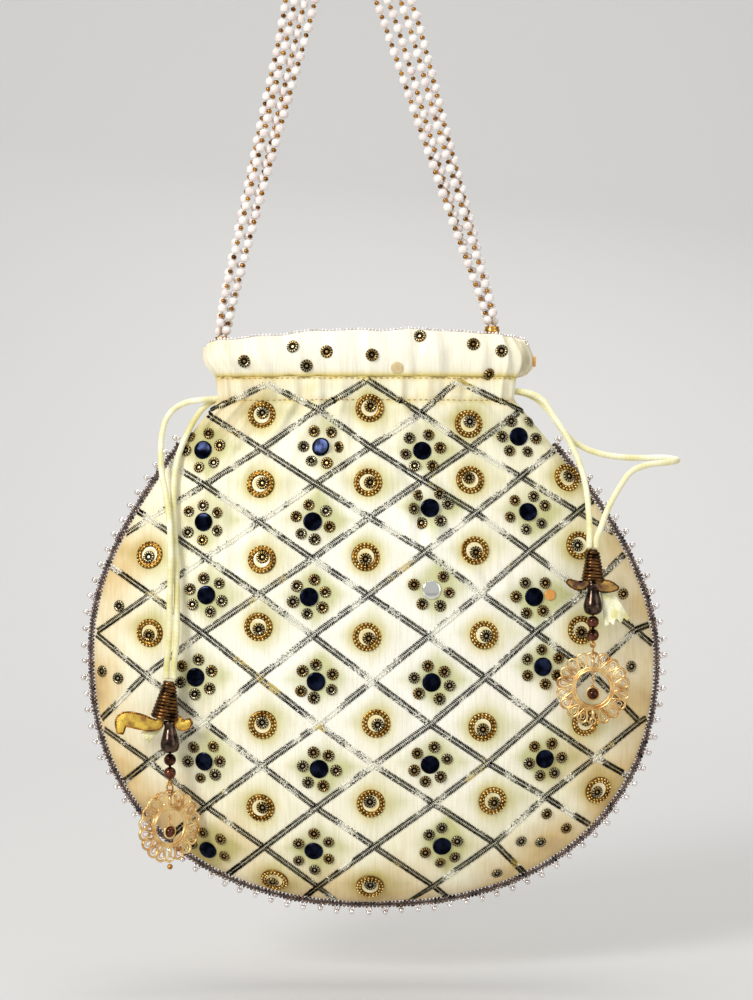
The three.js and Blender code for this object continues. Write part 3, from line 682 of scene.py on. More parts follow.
def bead_row() -> Recipe:
    """Makes the recipe for round beads along a line.

    Returns:
        A recipe with a Start, a Count, a Radius, a Flatness and Divisions.
    """
    recipe = Recipe(
        "bead_row",
        {
            "Start": "Float",
            "Count": "Int",
            "Radius": "Float",
            "Flatness": "Float",
            "Divisions": "Int",
            "Unevenness": "Float",
        },
    )
    graph = recipe.graph
    curve = graph.add("GeometryNodeMeshToCurve", {"Mesh": recipe.value("Geometry")})
    length = graph.add("GeometryNodeCurveLength", {"Curve": curve})
    end = graph.math("SUBTRACT", length, recipe.value("Start"))
    trimmed = graph.add("GeometryNodeTrimCurve", {"Curve": curve}, mode="LENGTH")
    graph.tree.links.new(recipe.value("Start"), trimmed.inputs[4])
    graph.tree.links.new(end.outputs[0], trimmed.inputs[5])
    points = graph.add(
        "GeometryNodeCurveToPoints", {"Curve": trimmed, "Count": recipe.value("Count")}, mode="COUNT"
    )
    ball = graph.add(
        "GeometryNodeMeshIcoSphere",
        {"Radius": recipe.value("Radius"), "Subdivisions": recipe.value("Divisions")},
    )
    least = graph.math("SUBTRACT", 1.0, recipe.value("Unevenness"))
    most = graph.math("ADD", 1.0, recipe.value("Unevenness"))
    size = graph.add("FunctionNodeRandomValue", data_type="FLOAT")
    graph.tree.links.new(least.outputs[0], size.inputs[2])
    graph.tree.links.new(most.outputs[0], size.inputs[3])
    size.inputs["Seed"].default_value = 7
    flat = graph.math("MULTIPLY", size.outputs[1], recipe.value("Flatness"))
    scale = graph.add("ShaderNodeCombineXYZ", {0: size.outputs[1], 1: size.outputs[1], 2: flat})
    beads = graph.add(
        "GeometryNodeInstanceOnPoints",
        {
            "Points": points,
            "Instance": ball,
            "Rotation": points.outputs["Rotation"],
            "Scale": scale,
        },
    )
    return recipe.close(beads)


def picot_edge() -> Recipe:
    """Makes the recipe for picots: a bead held out from an edge by two smaller ones.

    Returns:
        A recipe with a Spacing, a Reach and a Radius, for an edge in the plane Y = 0.
    """
    recipe = Recipe("picot_edge", {"Spacing": "Float", "Reach": "Float", "Radius": "Float"})
    graph = recipe.graph
    curve = graph.add("GeometryNodeMeshToCurve", {"Mesh": recipe.value("Geometry")})
    points = graph.add(
        "GeometryNodeCurveToPoints",
        {"Curve": curve, "Length": recipe.value("Spacing")},
        mode="LENGTH",
    )
    along = points.outputs["Tangent"]
    outward = graph.vector("CROSS_PRODUCT", along, (0.0, 1.0, 0.0))
    reach = recipe.value("Reach")
    radius = recipe.value("Radius")
    chance = graph.add("FunctionNodeRandomValue", data_type="FLOAT_VECTOR")
    chance.inputs[0].default_value = (-0.35 * MM, -0.5 * MM, -0.35 * MM)
    chance.inputs[1].default_value = (0.35 * MM, 0.5 * MM, 0.35 * MM)
    chance.inputs["Seed"].default_value = 11
    shapes = []
    for out, side, size, divisions in ((1.0, 0.0, 1.0, 2), (0.42, 0.8, 0.62, 1), (0.42, -0.8, 0.62, 1)):
        ahead = graph.scaled(along, graph.math("MULTIPLY", radius, side))
        away = graph.scaled(outward, graph.math("MULTIPLY", reach, out))
        offset = graph.vector("ADD", graph.vector("ADD", ahead, away), chance.outputs[0])
        moved = graph.add("GeometryNodeSetPosition", {"Geometry": points, "Offset": offset})
        ball = graph.add(
            "GeometryNodeMeshIcoSphere",
            {"Radius": graph.math("MULTIPLY", radius, size), "Subdivisions": divisions},
        )
        shapes.append(
            graph.add("GeometryNodeInstanceOnPoints", {"Points": moved, "Instance": ball})
        )
    return recipe.close(*shapes)


def surface_stitches() -> Recipe:
    """Makes the recipe for rows of slanted metal stitches that lie on a surface.

    Returns:
        A recipe with the Surface, a Spacing, a Row Gap, a Bar size, a Slant and a Lift.
    """
    recipe = Recipe(
        "surface_stitches",
        {
            "Surface": "Object",
            "Spacing": "Float",
            "Row Gap": "Float",
            "Bar": "Vector",
            "Slant": "Float",
            "Lift": "Float",
        },
    )
    graph = recipe.graph
    curve = graph.add("GeometryNodeMeshToCurve", {"Mesh": recipe.value("Geometry")})
    points = graph.add(
        "GeometryNodeCurveToPoints",
        {"Curve": curve, "Length": recipe.value("Spacing")},
        mode="LENGTH",
    )
    cloth = graph.add("GeometryNodeObjectInfo", {"Object": recipe.value("Surface")})
    surface = cloth.outputs["Geometry"]
    normal = laid_on(graph, surface).normal
    along = points.outputs["Tangent"]
    side = graph.vector("NORMALIZE", graph.vector("CROSS_PRODUCT", normal, along))
    shapes = []
    for turn in (1.0, -1.0):
        half = graph.math("MULTIPLY", recipe.value("Row Gap"), turn / 2)
        aside = graph.add(
            "GeometryNodeSetPosition",
            {"Geometry": points, "Offset": graph.scaled(side, half)},
        )
        laid = laid_on(graph, surface)
        facing = laid.normal
        lifted = graph.vector("ADD", laid.position, graph.scaled(facing, recipe.value("Lift")))
        placed = graph.add("GeometryNodeSetPosition", {"Geometry": aside, "Position": lifted})
        rotation = graph.add(
            "FunctionNodeAxesToRotation",
            {"Primary Axis": facing, "Secondary Axis": along},
            primary_axis="Z",
            secondary_axis="X",
        )
        slant = graph.add(
            "ShaderNodeCombineXYZ", {2: graph.math("MULTIPLY", recipe.value("Slant"), turn)}
        )
        jitter = graph.add("FunctionNodeRandomValue", data_type="FLOAT_VECTOR")
        jitter.inputs[0].default_value = (0.86, 0.86, 0.8)
        jitter.inputs[1].default_value = (1.12, 1.12, 1.15)
        jitter.inputs["Seed"].default_value = int(4 + turn)
        bar = graph.add("GeometryNodeMeshIcoSphere", {"Radius": 0.5, "Subdivisions": 1})
        shapes.append(
            graph.add(
                "GeometryNodeInstanceOnPoints",
                {
                    "Points": placed,
                    "Selection": laid.hit,
                    "Instance": bar,
                    "Rotation": recipe.turned(rotation, slant),
                    "Scale": graph.vector("MULTIPLY", recipe.value("Bar"), jitter.outputs[0]),
                },
            )
        )
    return recipe.close(*shapes)


def surface_motifs() -> Recipe:
    """Makes the recipe for sewn motifs that lie flat on a surface.

    Returns:
        A recipe with the Surface, the Motif and a Lift. Each point's size and turn
        attributes scale and turn its motif.
    """
    recipe = Recipe(
        "surface_motifs", {"Surface": "Object", "Motif": "Object", "Lift": "Float", "Tilt": "Float"}
    )
    graph = recipe.graph
    cloth = graph.add("GeometryNodeObjectInfo", {"Object": recipe.value("Surface")})
    surface = cloth.outputs["Geometry"]
    laid = laid_on(graph, surface)
    facing = laid.normal
    lifted = graph.vector("ADD", laid.position, graph.scaled(facing, recipe.value("Lift")))
    rotation = graph.add("FunctionNodeAlignRotationToVector", {"Vector": facing}, axis="Z")
    turn = graph.add("GeometryNodeInputNamedAttribute", {"Name": "turn"}, data_type="FLOAT")
    tilt = graph.add("FunctionNodeRandomValue", data_type="FLOAT_VECTOR")
    tilt.inputs[0].default_value = (-1.0, -1.0, 0.0)
    tilt.inputs[1].default_value = (1.0, 1.0, 0.0)
    tilt.inputs["Seed"].default_value = 3
    lean = graph.scaled(tilt.outputs[0], recipe.value("Tilt"))
    spin = graph.add("ShaderNodeCombineXYZ", {2: turn})
    size = graph.add("GeometryNodeInputNamedAttribute", {"Name": "size"}, data_type="FLOAT")
    captured = graph.add("GeometryNodeSetPosition", {"Geometry": recipe.value("Geometry")})
    graph.tree.links.new(lifted.outputs[0], captured.inputs["Position"])
    motif = graph.add("GeometryNodeObjectInfo", {"Object": recipe.value("Motif")})
    sewn = graph.add(
        "GeometryNodeInstanceOnPoints",
        {
            "Points": captured,
            "Selection": laid.hit,
            "Instance": motif.outputs["Geometry"],
            "Rotation": recipe.turned(recipe.turned(rotation, spin), lean),
            "Scale": size,
        },
    )
    return recipe.close(sewn)


def ring_copies() -> Recipe:
    """Makes the recipe for copies of a motif round a ring.

    Returns:
        A recipe with a Count, a Radius and the Motif. A place whose number leaves no more
        than Free when it is divided by Step stays empty.
    """
    recipe = Recipe(
        "ring_copies",
        {"Count": "Int", "Radius": "Float", "Motif": "Object", "Step": "Int", "Free": "Float"},
    )
    graph = recipe.graph
    ring = graph.add(
        "GeometryNodeMeshCircle",
        {"Vertices": recipe.value("Count"), "Radius": recipe.value("Radius")},
    )
    index = graph.add("GeometryNodeInputIndex")
    rest = graph.math("MODULO", index, recipe.value("Step"))
    chosen = graph.add(
        "FunctionNodeCompare",
        {0: rest, 1: recipe.value("Free")},
        data_type="FLOAT",
        operation="GREATER_THAN",
    )
    outward = graph.add(
        "FunctionNodeAlignRotationToVector",
        {"Vector": graph.add("GeometryNodeInputPosition")},
        axis="X",
        pivot_axis="Z",
    )
    motif = graph.add("GeometryNodeObjectInfo", {"Object": recipe.value("Motif")})
    copies = graph.add(
        "GeometryNodeInstanceOnPoints",
        {
            "Points": ring,
            "Selection": chosen,
            "Instance": motif.outputs["Geometry"],
            "Rotation": outward,
        },
    )
    return recipe.close(copies)


def coil() -> Recipe:
    """Makes the recipe for a wire that is wound into a cone.

    Returns:
        A recipe with Turns, a Top Radius, a Foot Radius, a Height and a Wire radius. The
        coil stands on Z = -Height with its top at 0.
    """
    recipe = Recipe(
        "coil",
        {
            "Turns": "Float",
            "Top Radius": "Float",
            "Foot Radius": "Float",
            "Height": "Float",
            "Wire": "Float",
        },
    )
    graph = recipe.graph
    spiral = graph.add(
        "GeometryNodeCurveSpiral",
        {
            "Resolution": 26,
            "Rotations": recipe.value("Turns"),
            "Start Radius": recipe.value("Foot Radius"),
            "End Radius": recipe.value("Top Radius"),
            "Height": recipe.value("Height"),
        },
    )
    down = graph.add("ShaderNodeCombineXYZ", {2: graph.math("MULTIPLY", recipe.value("Height"), -1.0)})
    moved = graph.add("GeometryNodeSetPosition", {"Geometry": spiral, "Offset": down})
    profile = graph.add(
        "GeometryNodeCurvePrimitiveCircle", {"Resolution": 9, "Radius": recipe.value("Wire")}
    )
    wire = graph.add(
        "GeometryNodeCurveToMesh",
        {"Curve": moved, "Profile Curve": profile.outputs["Curve"], "Fill Caps": True},
    )
    return recipe.close(wire)


def line_mesh(name: str, lines: Iterable[Sequence[Place]]) -> bpy.types.Mesh:
    """Makes a mesh of open lines.

    Args:
        name: The mesh's name.
        lines: The points of each line.

    Returns:
        The mesh of points and edges.
    """
    points: list[Place] = []
    edges: list[tuple[int, int]] = []
    for line in lines:
        first = len(points)
        points.extend(tuple(point) for point in line)
        edges.extend((first + i, first + i + 1) for i in range(len(line) - 1))
    mesh = bpy.data.meshes.new(name)
    mesh.from_pydata(points, edges, [])
    return mesh


def shape_object(
    name: str, points: Sequence[Place], faces: Sequence[Sequence[int]], finish: Finish
) -> bpy.types.Object:
    """Makes a smooth piece from points and faces.

    Args:
        name: The piece's name.
        points: Its points in the frame.
        faces: The corners of each face, turning to the left seen from outside.
        finish: Its finish.

    Returns:
        The new piece.
    """
    mesh = bpy.data.meshes.new(name)
    mesh.from_pydata([tuple(point) for point in points], [], [list(face) for face in faces])
    solid = bmesh.new()
    solid.from_mesh(mesh)
    bmesh.ops.recalc_face_normals(solid, faces=solid.faces[:])
    solid.to_mesh(mesh)
    solid.free()
    mesh.materials.append(finish.material())
    mesh.shade_smooth()
    piece = bpy.data.objects.new(name, mesh)
    bpy.context.scene.collection.objects.link(piece)
    return piece


Shape = tuple[list[Vector], list[tuple[int, ...]]]


def joined(*shapes: Shape) -> Shape:
    """Puts several shapes into one list of points and faces."""
    points: list[Vector] = []
    faces: list[tuple[int, ...]] = []
    for more, corners in shapes:
        first = len(points)
        points.extend(more)
        faces.extend(tuple(first + corner for corner in face) for face in corners)
    return points, faces


def moved(shape: Shape, matrix: Matrix) -> Shape:
    """Gives a shape after a movement."""
    return [matrix @ point for point in shape[0]], shape[1]


def lathe(outline: Sequence[tuple[float, float]], sides: int, ribs: int = 0, rib: float = 0.0) -> Shape:
    """Turns a closed outline about the Z axis.

    Args:
        outline: Radius and height of each point, from the bottom up on the outside.
        sides: The number of steps round.
        ribs: The number of lengthwise ribs.
        rib: The height of a rib, as a share of the radius.

    Returns:
        The turned shape, with its poles closed.
    """
    points: list[Vector] = []
    rings: list[list[int]] = []
    for radius, height in outline:
        if radius < 1e-7:
            rings.append([len(points)])
            points.append(Vector((0, 0, height)))
            continue
        rings.append(list(range(len(points), len(points) + sides)))
        for i in range(sides):
            angle = 2 * math.pi * i / sides
            wide = radius * (1 + rib * math.cos(ribs * angle))
            points.append(Vector((wide * math.cos(angle), wide * math.sin(angle), height)))
    faces: list[tuple[int, ...]] = []
    pairs = list(zip(rings, rings[1:]))
    if len(rings[0]) > 1:
        pairs.append((rings[-1], rings[0]))
    for low, high in pairs:
        for i in range(sides):
            j = (i + 1) % sides
            if len(low) == 1 and len(high) == 1:
                continue
            if len(low) == 1:
                faces.append((low[0], high[j], high[i]))
            elif len(high) == 1:
                faces.append((low[i], low[j], high[0]))
            else:
                faces.append((low[i], low[j], high[j], high[i]))
    return points, faces


def smooth_outline(corners: Sequence[tuple[float, float]], steps: int) -> list[tuple[float, float]]:
    """Rounds an outline by a curve through its corners.

    Args:
        corners: Radius and height of each corner.
        steps: The number of points between two corners.

    Returns:
        The finer outline.
    """
    line = through([Vector((radius, 0, height)) for radius, height in corners], steps)
    return [(max(0.0, point.x), point.z) for point in line]


def through(points: Sequence[Vector], steps: int) -> list[Vector]:
    """Runs a centripetal curve through points, as the frame's own cords do.

    Args:
        points: The points that the curve passes.
        steps: The number of steps between two of them.

    Returns:
        The points of the curve.
    """
    ends = [2 * points[0] - points[1], *points, 2 * points[-1] - points[-2]]
    line: list[Vector] = []
    for i in range(1, len(ends) - 2):
        before, start, end, after = ends[i - 1 : i + 3]
        gaps = [math.sqrt((b - a).length) for a, b in ((before, start), (start, end), (end, after))]
        middle = max(gaps[1], 1e-9)
        first = max(gaps[0], 1e-9)
        last = max(gaps[2], 1e-9)
        leaving = (
            (start - before) / first - (end - before) / (first + middle) + (end - start) / middle
        ) * middle
        arriving = (
            (end - start) / middle - (after - start) / (middle + last) + (after - end) / last
        ) * middle
        square = -3 * start + 3 * end - 2 * leaving - arriving
        cube = 2 * start - 2 * end + leaving + arriving
        for step in range(steps):
            t = step / steps
            line.append(start + leaving * t + square * t * t + cube * t * t * t)
    line.append(points[-1].copy())
    return line


def length_of(line: Sequence[Vector]) -> float:
    """Gives a line's length."""
    return sum((b - a).length for a, b in zip(line, line[1:]))


def evenly(line: Sequence[Vector], spacing: float) -> list[Vector]:
    """Spreads points evenly along a line.

    Args:
        line: The points of the line.
        spacing: About the distance between two new points.

    Returns:
        The new points, with the line's own ends.
    """
    reach = np.array([0.0, *np.cumsum([(b - a).length for a, b in zip(line, line[1:])])])
    count = max(2, round(reach[-1] / spacing) + 1)
    wanted = np.linspace(0, reach[-1], count)
    columns = np.array([tuple(point) for point in line])
    spread = np.stack([np.interp(wanted, reach, columns[:, k]) for k in range(3)], axis=1)
    return [Vector(row) for row in spread]


def sweep(
    name: str,
    line: Sequence[Vector],
    radius: Callable[[float], tuple[float, float]],
    sides: int,
    finish: Finish,
) -> bpy.types.Object:
    """Makes a tube along a line, with its own lengthwise coordinates.

    Args:
        name: The piece's name.
        line: The points of the line.
        radius: The two half widths at a distance along the line.
        sides: The number of steps round.
        finish: Its finish.

    Returns:
        The closed tube.
    """
    points: list[Vector] = []
    travelled = 0.0
    reach: list[float] = []
    side = Vector((0, 1, 0))
    for i, here in enumerate(line):
        ahead = line[min(i + 1, len(line) - 1)] - line[max(i - 1, 0)]
        along = ahead.normalized()
        side = (side - along * side.dot(along)).normalized()
        other = along.cross(side)
        if i:
            travelled += (here - line[i - 1]).length
        reach.append(travelled)
        wide, thick = radius(travelled)
        for k in range(sides):
            angle = 2 * math.pi * k / sides
            points.append(here + side * wide * math.cos(angle) + other * thick * math.sin(angle))
    faces: list[tuple[int, ...]] = []
    for i in range(len(line) - 1):
        for k in range(sides):
            low = i * sides
            nxt = (k + 1) % sides
            faces.append((low + k, low + nxt, low + sides + nxt, low + sides + k))
    faces.append(tuple(reversed(range(sides))))
    faces.append(tuple(range(len(points) - sides, len(points))))
    piece = shape_object(name, points, faces, finish)
    layer = piece.data.uv_layers.new(name="Cord")
    for polygon in piece.data.polygons:
        wraps = len(polygon.vertices) == 4
        for loop in polygon.loop_indices:
            vertex = piece.data.loops[loop].vertex_index
            around = (vertex % sides) / sides
            if wraps and around == 0 and polygon.index % sides == sides - 1:
                around = 1.0
            layer.data[loop].uv = (around, reach[vertex // sides])
    return piece


def torus(radius: float, wire: float, steps: int = 36, sides: int = 10, flat: float = 1.0) -> Shape:
    """Makes a ring about the Y axis.

    Args:
        radius: The ring's middle radius.
        wire: Its wire's radius.
        steps: The number of steps round the ring.
        sides: The number of steps round the wire.
        flat: The wire's depth as a share of its width.

    Returns:
        The ring's shape.
    """
    points = []
    for i in range(steps):
        angle = 2 * math.pi * i / steps
        for k in range(sides):
            turn = 2 * math.pi * k / sides
            out = radius + wire * math.cos(turn)
            points.append(
                Vector((out * math.cos(angle), wire * flat * math.sin(turn), out * math.sin(angle)))
            )
    faces = []
    for i in range(steps):
        nxt = (i + 1) % steps * sides
        for k in range(sides):
            j = (k + 1) % sides
            faces.append((i * sides + k, i * sides + j, nxt + j, nxt + k))
    return points, faces


def wire_loop(line: Sequence[Vector], wire: float, sides: int, closed: bool) -> Shape:
    """Makes a wire along a flat line in the plane Y = 0.

    Args:
        line: The points of the line.
        wire: The wire's radius.
        sides: The number of steps round the wire.
        closed: Whether the line runs back to its start.

    Returns:
        The wire's shape.
    """
    points = []
    count = len(line)
    for i, here in enumerate(line):
        ahead = line[(i + 1) % count] if closed else line[min(i + 1, count - 1)]
        back = line[i - 1] if closed or i else line[0]
        along = (ahead - back).normalized()
        side = Vector((-along.z, 0, along.x))
        for k in range(sides):
            turn = 2 * math.pi * k / sides
            points.append(here + side * wire * math.cos(turn) + Vector((0, wire * math.sin(turn), 0)))
    faces = []
    for i in range(count if closed else count - 1):
        nxt = (i + 1) % count * sides
        for k in range(sides):
            j = (k + 1) % sides
            faces.append((i * sides + j, i * sides + k, nxt + k, nxt + j))
    if not closed:
        faces.append(tuple(range(sides)))
        faces.append(tuple(reversed(range(len(points) - sides, len(points)))))
    return points, faces


def ball(radius: float, segments: int = 20, rings: int = 12, squash: float = 1.0) -> Shape:
    """Makes a ball about the origin, with its height scaled by squash."""
    outline = [
        (radius * math.sin(math.pi * i / rings), -radius * squash * math.cos(math.pi * i / rings))
        for i in range(rings + 1)
    ]
    outline[0] = (0.0, outline[0][1])
    outline[-1] = (0.0, outline[-1][1])
    return lathe(outline, segments)


class Stage(Enum):
    """The three stretches of a cloth wall, from its top edge down."""

    CASING = "casing"
    UPPER = "upper"
    LOWER = "lower"


class Side(Enum):
    """The two sides of the pouch, with the sign that turns one into the other."""

    FRONT = 1
    BACK = -1

    @property
    def label(self) -> str:
        """Gives the side's name as it stands in piece names."""
        return self.name.lower()


@dataclass(frozen=True)
class RowFacts:
    """The height and the section of a cloth wall at one row."""

    z: float
    half_width: float
    depth: float
    slit: float
    pinch: float
    shift: float


@dataclass(frozen=True)
class PouchShape:
    """The pouch's own sizes, as its frame was made with."""

    body_width: float = 223.6 * MM
    centre_x: float = 12.8 * MM
    waist_z: float = -182 * MM
    upper_height: float = 101.2 * MM
    lower_height: float = 98.4 * MM
    front_bulge: float = 24 * MM
    back_bulge: float = 18 * MM
    outline_power: float = 2.25
    bottom_seam: float = 24 * MM
    cloth_wall: float = 1.2 * MM
    lining_wall: float = 0.6 * MM
    lining_gap: float = 1.0 * MM
    neck_width: float = 120 * MM
    end_radius: float = 8.2 * MM
    bow: float = 4 * MM
    neck_shift: float = -3.2 * MM
    casing_height: float = 9.6 * MM
    casing_flare: float = 1 * MM
    slit: float = 8.4 * MM
    gap: float = 0.3 * MM
    lens_power: float = 0.75
    pinch_share: float = 0.3
    straight_share: float = 0.75

    @property
    def widest_z(self) -> float:
        """Gives the height of the widest row."""
        return self.waist_z - self.upper_height

    @property
    def casing_top(self) -> float:
        """Gives the height of the casing's top edge."""
        return self.waist_z + self.casing_height

    @property
    def neck_x(self) -> float:
        """Gives the middle of the neck."""
        return self.centre_x + self.neck_shift

    @property
    def last_turn(self) -> float:
        """Gives the turn at which the outline meets the bottom seam."""
        return math.acos((self.bottom_seam / self.body_width) ** (self.outline_power / 2))

    def bulge(self, side: Side) -> float:
        """Gives a side's greatest depth."""
        return self.front_bulge if side is Side.FRONT else self.back_bulge

    def row(self, stage: Stage, share: float, bulge: float, inset: float) -> RowFacts:
        """Works out one row of a wall.

        Args:
            stage: The stretch that the row is in.
            share: Its place there, or its turn on the lower stretch.
            bulge: The wall's greatest depth.
            inset: How far the face lies inside the outer one.

        Returns:
            The row's height and section.
        """
        neck_depth = self.end_radius + self.bow
        if stage is Stage.CASING:
            return RowFacts(
                z=self.waist_z + self.casing_height * share,
                half_width=self.neck_width / 2 + self.casing_flare * share - inset,
                depth=neck_depth - inset,
                slit=self.slit,
                pinch=0.0,
                shift=self.neck_shift,
            )
        if stage is Stage.UPPER:
            rise = math.sin(share * math.pi / 2)
            return RowFacts(
                z=self.waist_z - self.upper_height * share,
                half_width=lerp(self.neck_width, self.body_width, rise) / 2 - inset,
                depth=lerp(neck_depth, bulge, rise) - inset,
                slit=self.gap,
                pinch=min(1.0, share / self.pinch_share),
                shift=self.neck_shift * (1 - share),
            )
        power = 2 / self.outline_power
        narrow = math.cos(share) ** power
        least = math.cos(self.last_turn) ** power
        fill = max(0.0, (narrow - least) / (1 - least))
        hem = max(0.0, self.cloth_wall - inset)
        return RowFacts(
            z=self.widest_z - (self.lower_height - inset) * math.sin(share) ** power,
            half_width=(self.body_width / 2 - inset) * narrow,
            depth=hem + (bulge - max(self.cloth_wall, inset)) * fill,
            slit=self.gap,
            pinch=1.0,
            shift=0.0,
        )

    def neck_wall(self, across: float, half_width: float, slit: float, inset: float) -> tuple[float, float]:
        """Gives the neck's wall seen from above.

        Args:
            across: The place from -1 to 1.
            half_width: Half the width of the outer face.
            slit: The width of the opening at each end.
            inset: How far the face lies inside the outer one.

        Returns:
            The distance across and the depth.
        """
        straight = half_width - self.end_radius
        radius = self.end_radius - inset
        if abs(across) <= self.straight_share:
            along = across / self.straight_share
            return straight * along, radius + self.bow * (1 - along * along) ** 2
        last = math.acos(slit / 2 / self.end_radius)
        angle = last * (abs(across) - self.straight_share) / (1 - self.straight_share)
        side = math.copysign(1, across)
        return side * (straight + radius * math.sin(angle)), radius * math.cos(angle)

    def lens_wall(self, across: float, half_width: float, depth: float) -> tuple[float, float]:
        """Gives the pinched wall seen from above, as neck_wall does."""
        share = math.sin(across * math.pi / 2)
        rest = max(0.0, 1 - share * share)
        lift = self.gap / 2 + (depth - self.gap / 2) * rest**self.lens_power
        return half_width * share, max(lift, self.gap / 2)

    def point(self, across: float, facts: RowFacts, inset: float, side: Side) -> Vector:
        """Gives a point of a wall's face.

        Args:
            across: The place from -1 to 1.
            facts: The row.
            inset: How far the face lies inside the outer one.
            side: The side of the pouch.

        Returns:
            The point in the frame.
        """
        neck = self.neck_wall(across, facts.half_width + inset, facts.slit, inset)
        lens = self.lens_wall(across, facts.half_width, facts.depth)
        x = lerp(neck[0], lens[0], facts.pinch)
        depth = lerp(max(neck[1], self.gap / 2), lens[1], facts.pinch)
        centre = self.centre_x + facts.shift
        return Vector((centre + side.value * x, -side.value * depth, facts.z))

    def row_at(self, z: float) -> RowFacts:
        """Gives the outer row of the front wall at a height."""
        if z >= self.waist_z:
            share = (z - self.waist_z) / self.casing_height
            return self.row(Stage.CASING, share, self.front_bulge, 0.0)
        if z > self.widest_z:
            share = (self.waist_z - z) / self.upper_height
            return self.row(Stage.UPPER, share, self.front_bulge, 0.0)
        fall = min(1.0, (self.widest_z - z) / self.lower_height)
        turn = math.asin(fall ** (self.outline_power / 2))
        return self.row(Stage.LOWER, turn, self.front_bulge, 0.0)

    def face_depth(self, x: float, z: float) -> float:
        """Gives the front face's depth below the waist, or 0 beyond its edge."""
        if z >= self.waist_z:
            return 0.0
        return self.wall_depth(x, z)

    def wall_depth(self, x: float, z: float) -> float:
        """Gives the front face's depth at any height, or 0 beyond its edge."""
        facts = self.row_at(z)
        across = abs(x - self.centre_x - facts.shift)
        if across >= facts.half_width:
            return 0.0
        over = max(0.0, across - facts.half_width + self.end_radius)
        neck = math.sqrt(self.end_radius**2 - over**2)
        if facts.pinch == 0 and over == 0:
            along = across / (facts.half_width - self.end_radius)
            neck += self.bow * (1 - along * along) ** 2
        lens = facts.depth * (1 - (across / facts.half_width) ** 2) ** self.lens_power
        return lerp(neck, lens, facts.pinch)


SHAPE = PouchShape()


@dataclass(frozen=True)
class Viewpoint:
    """Where the picture is taken from, and its scale in the seam plane."""

    x: float = 13.8 * MM
    y: float = -800 * MM
    z: float = -221.2 * MM
    pixel: float = 0.4 * MM
    middle: tuple[float, float] = (376.5, 500.0)

    def at_depth(self, px: float, py: float, depth: float) -> Vector:
        """Gives the place that shows at a pixel, depth in front of the seam plane."""
        near = (-self.y - depth) / -self.y
        x = self.x + (px - self.middle[0]) * self.pixel * near
        z = self.z - (py - self.middle[1]) * self.pixel * near
        return Vector((x, -depth, z))

    def on_front(self, px: float, py: float) -> Vector:
        """Gives the place of the front face that shows at a pixel."""
        place = self.at_depth(px, py, 0.0)
        for _ in range(8):
            place = self.at_depth(px, py, SHAPE.wall_depth(place.x, place.z))
        return place

    def on_frill(self, px: float, py: float) -> Vector:
        """Gives the place on the front frill that shows at a pixel."""
        return self.at_depth(px, py, SHAPE.end_radius + SHAPE.bow * 0.8)


VIEW = Viewpoint()


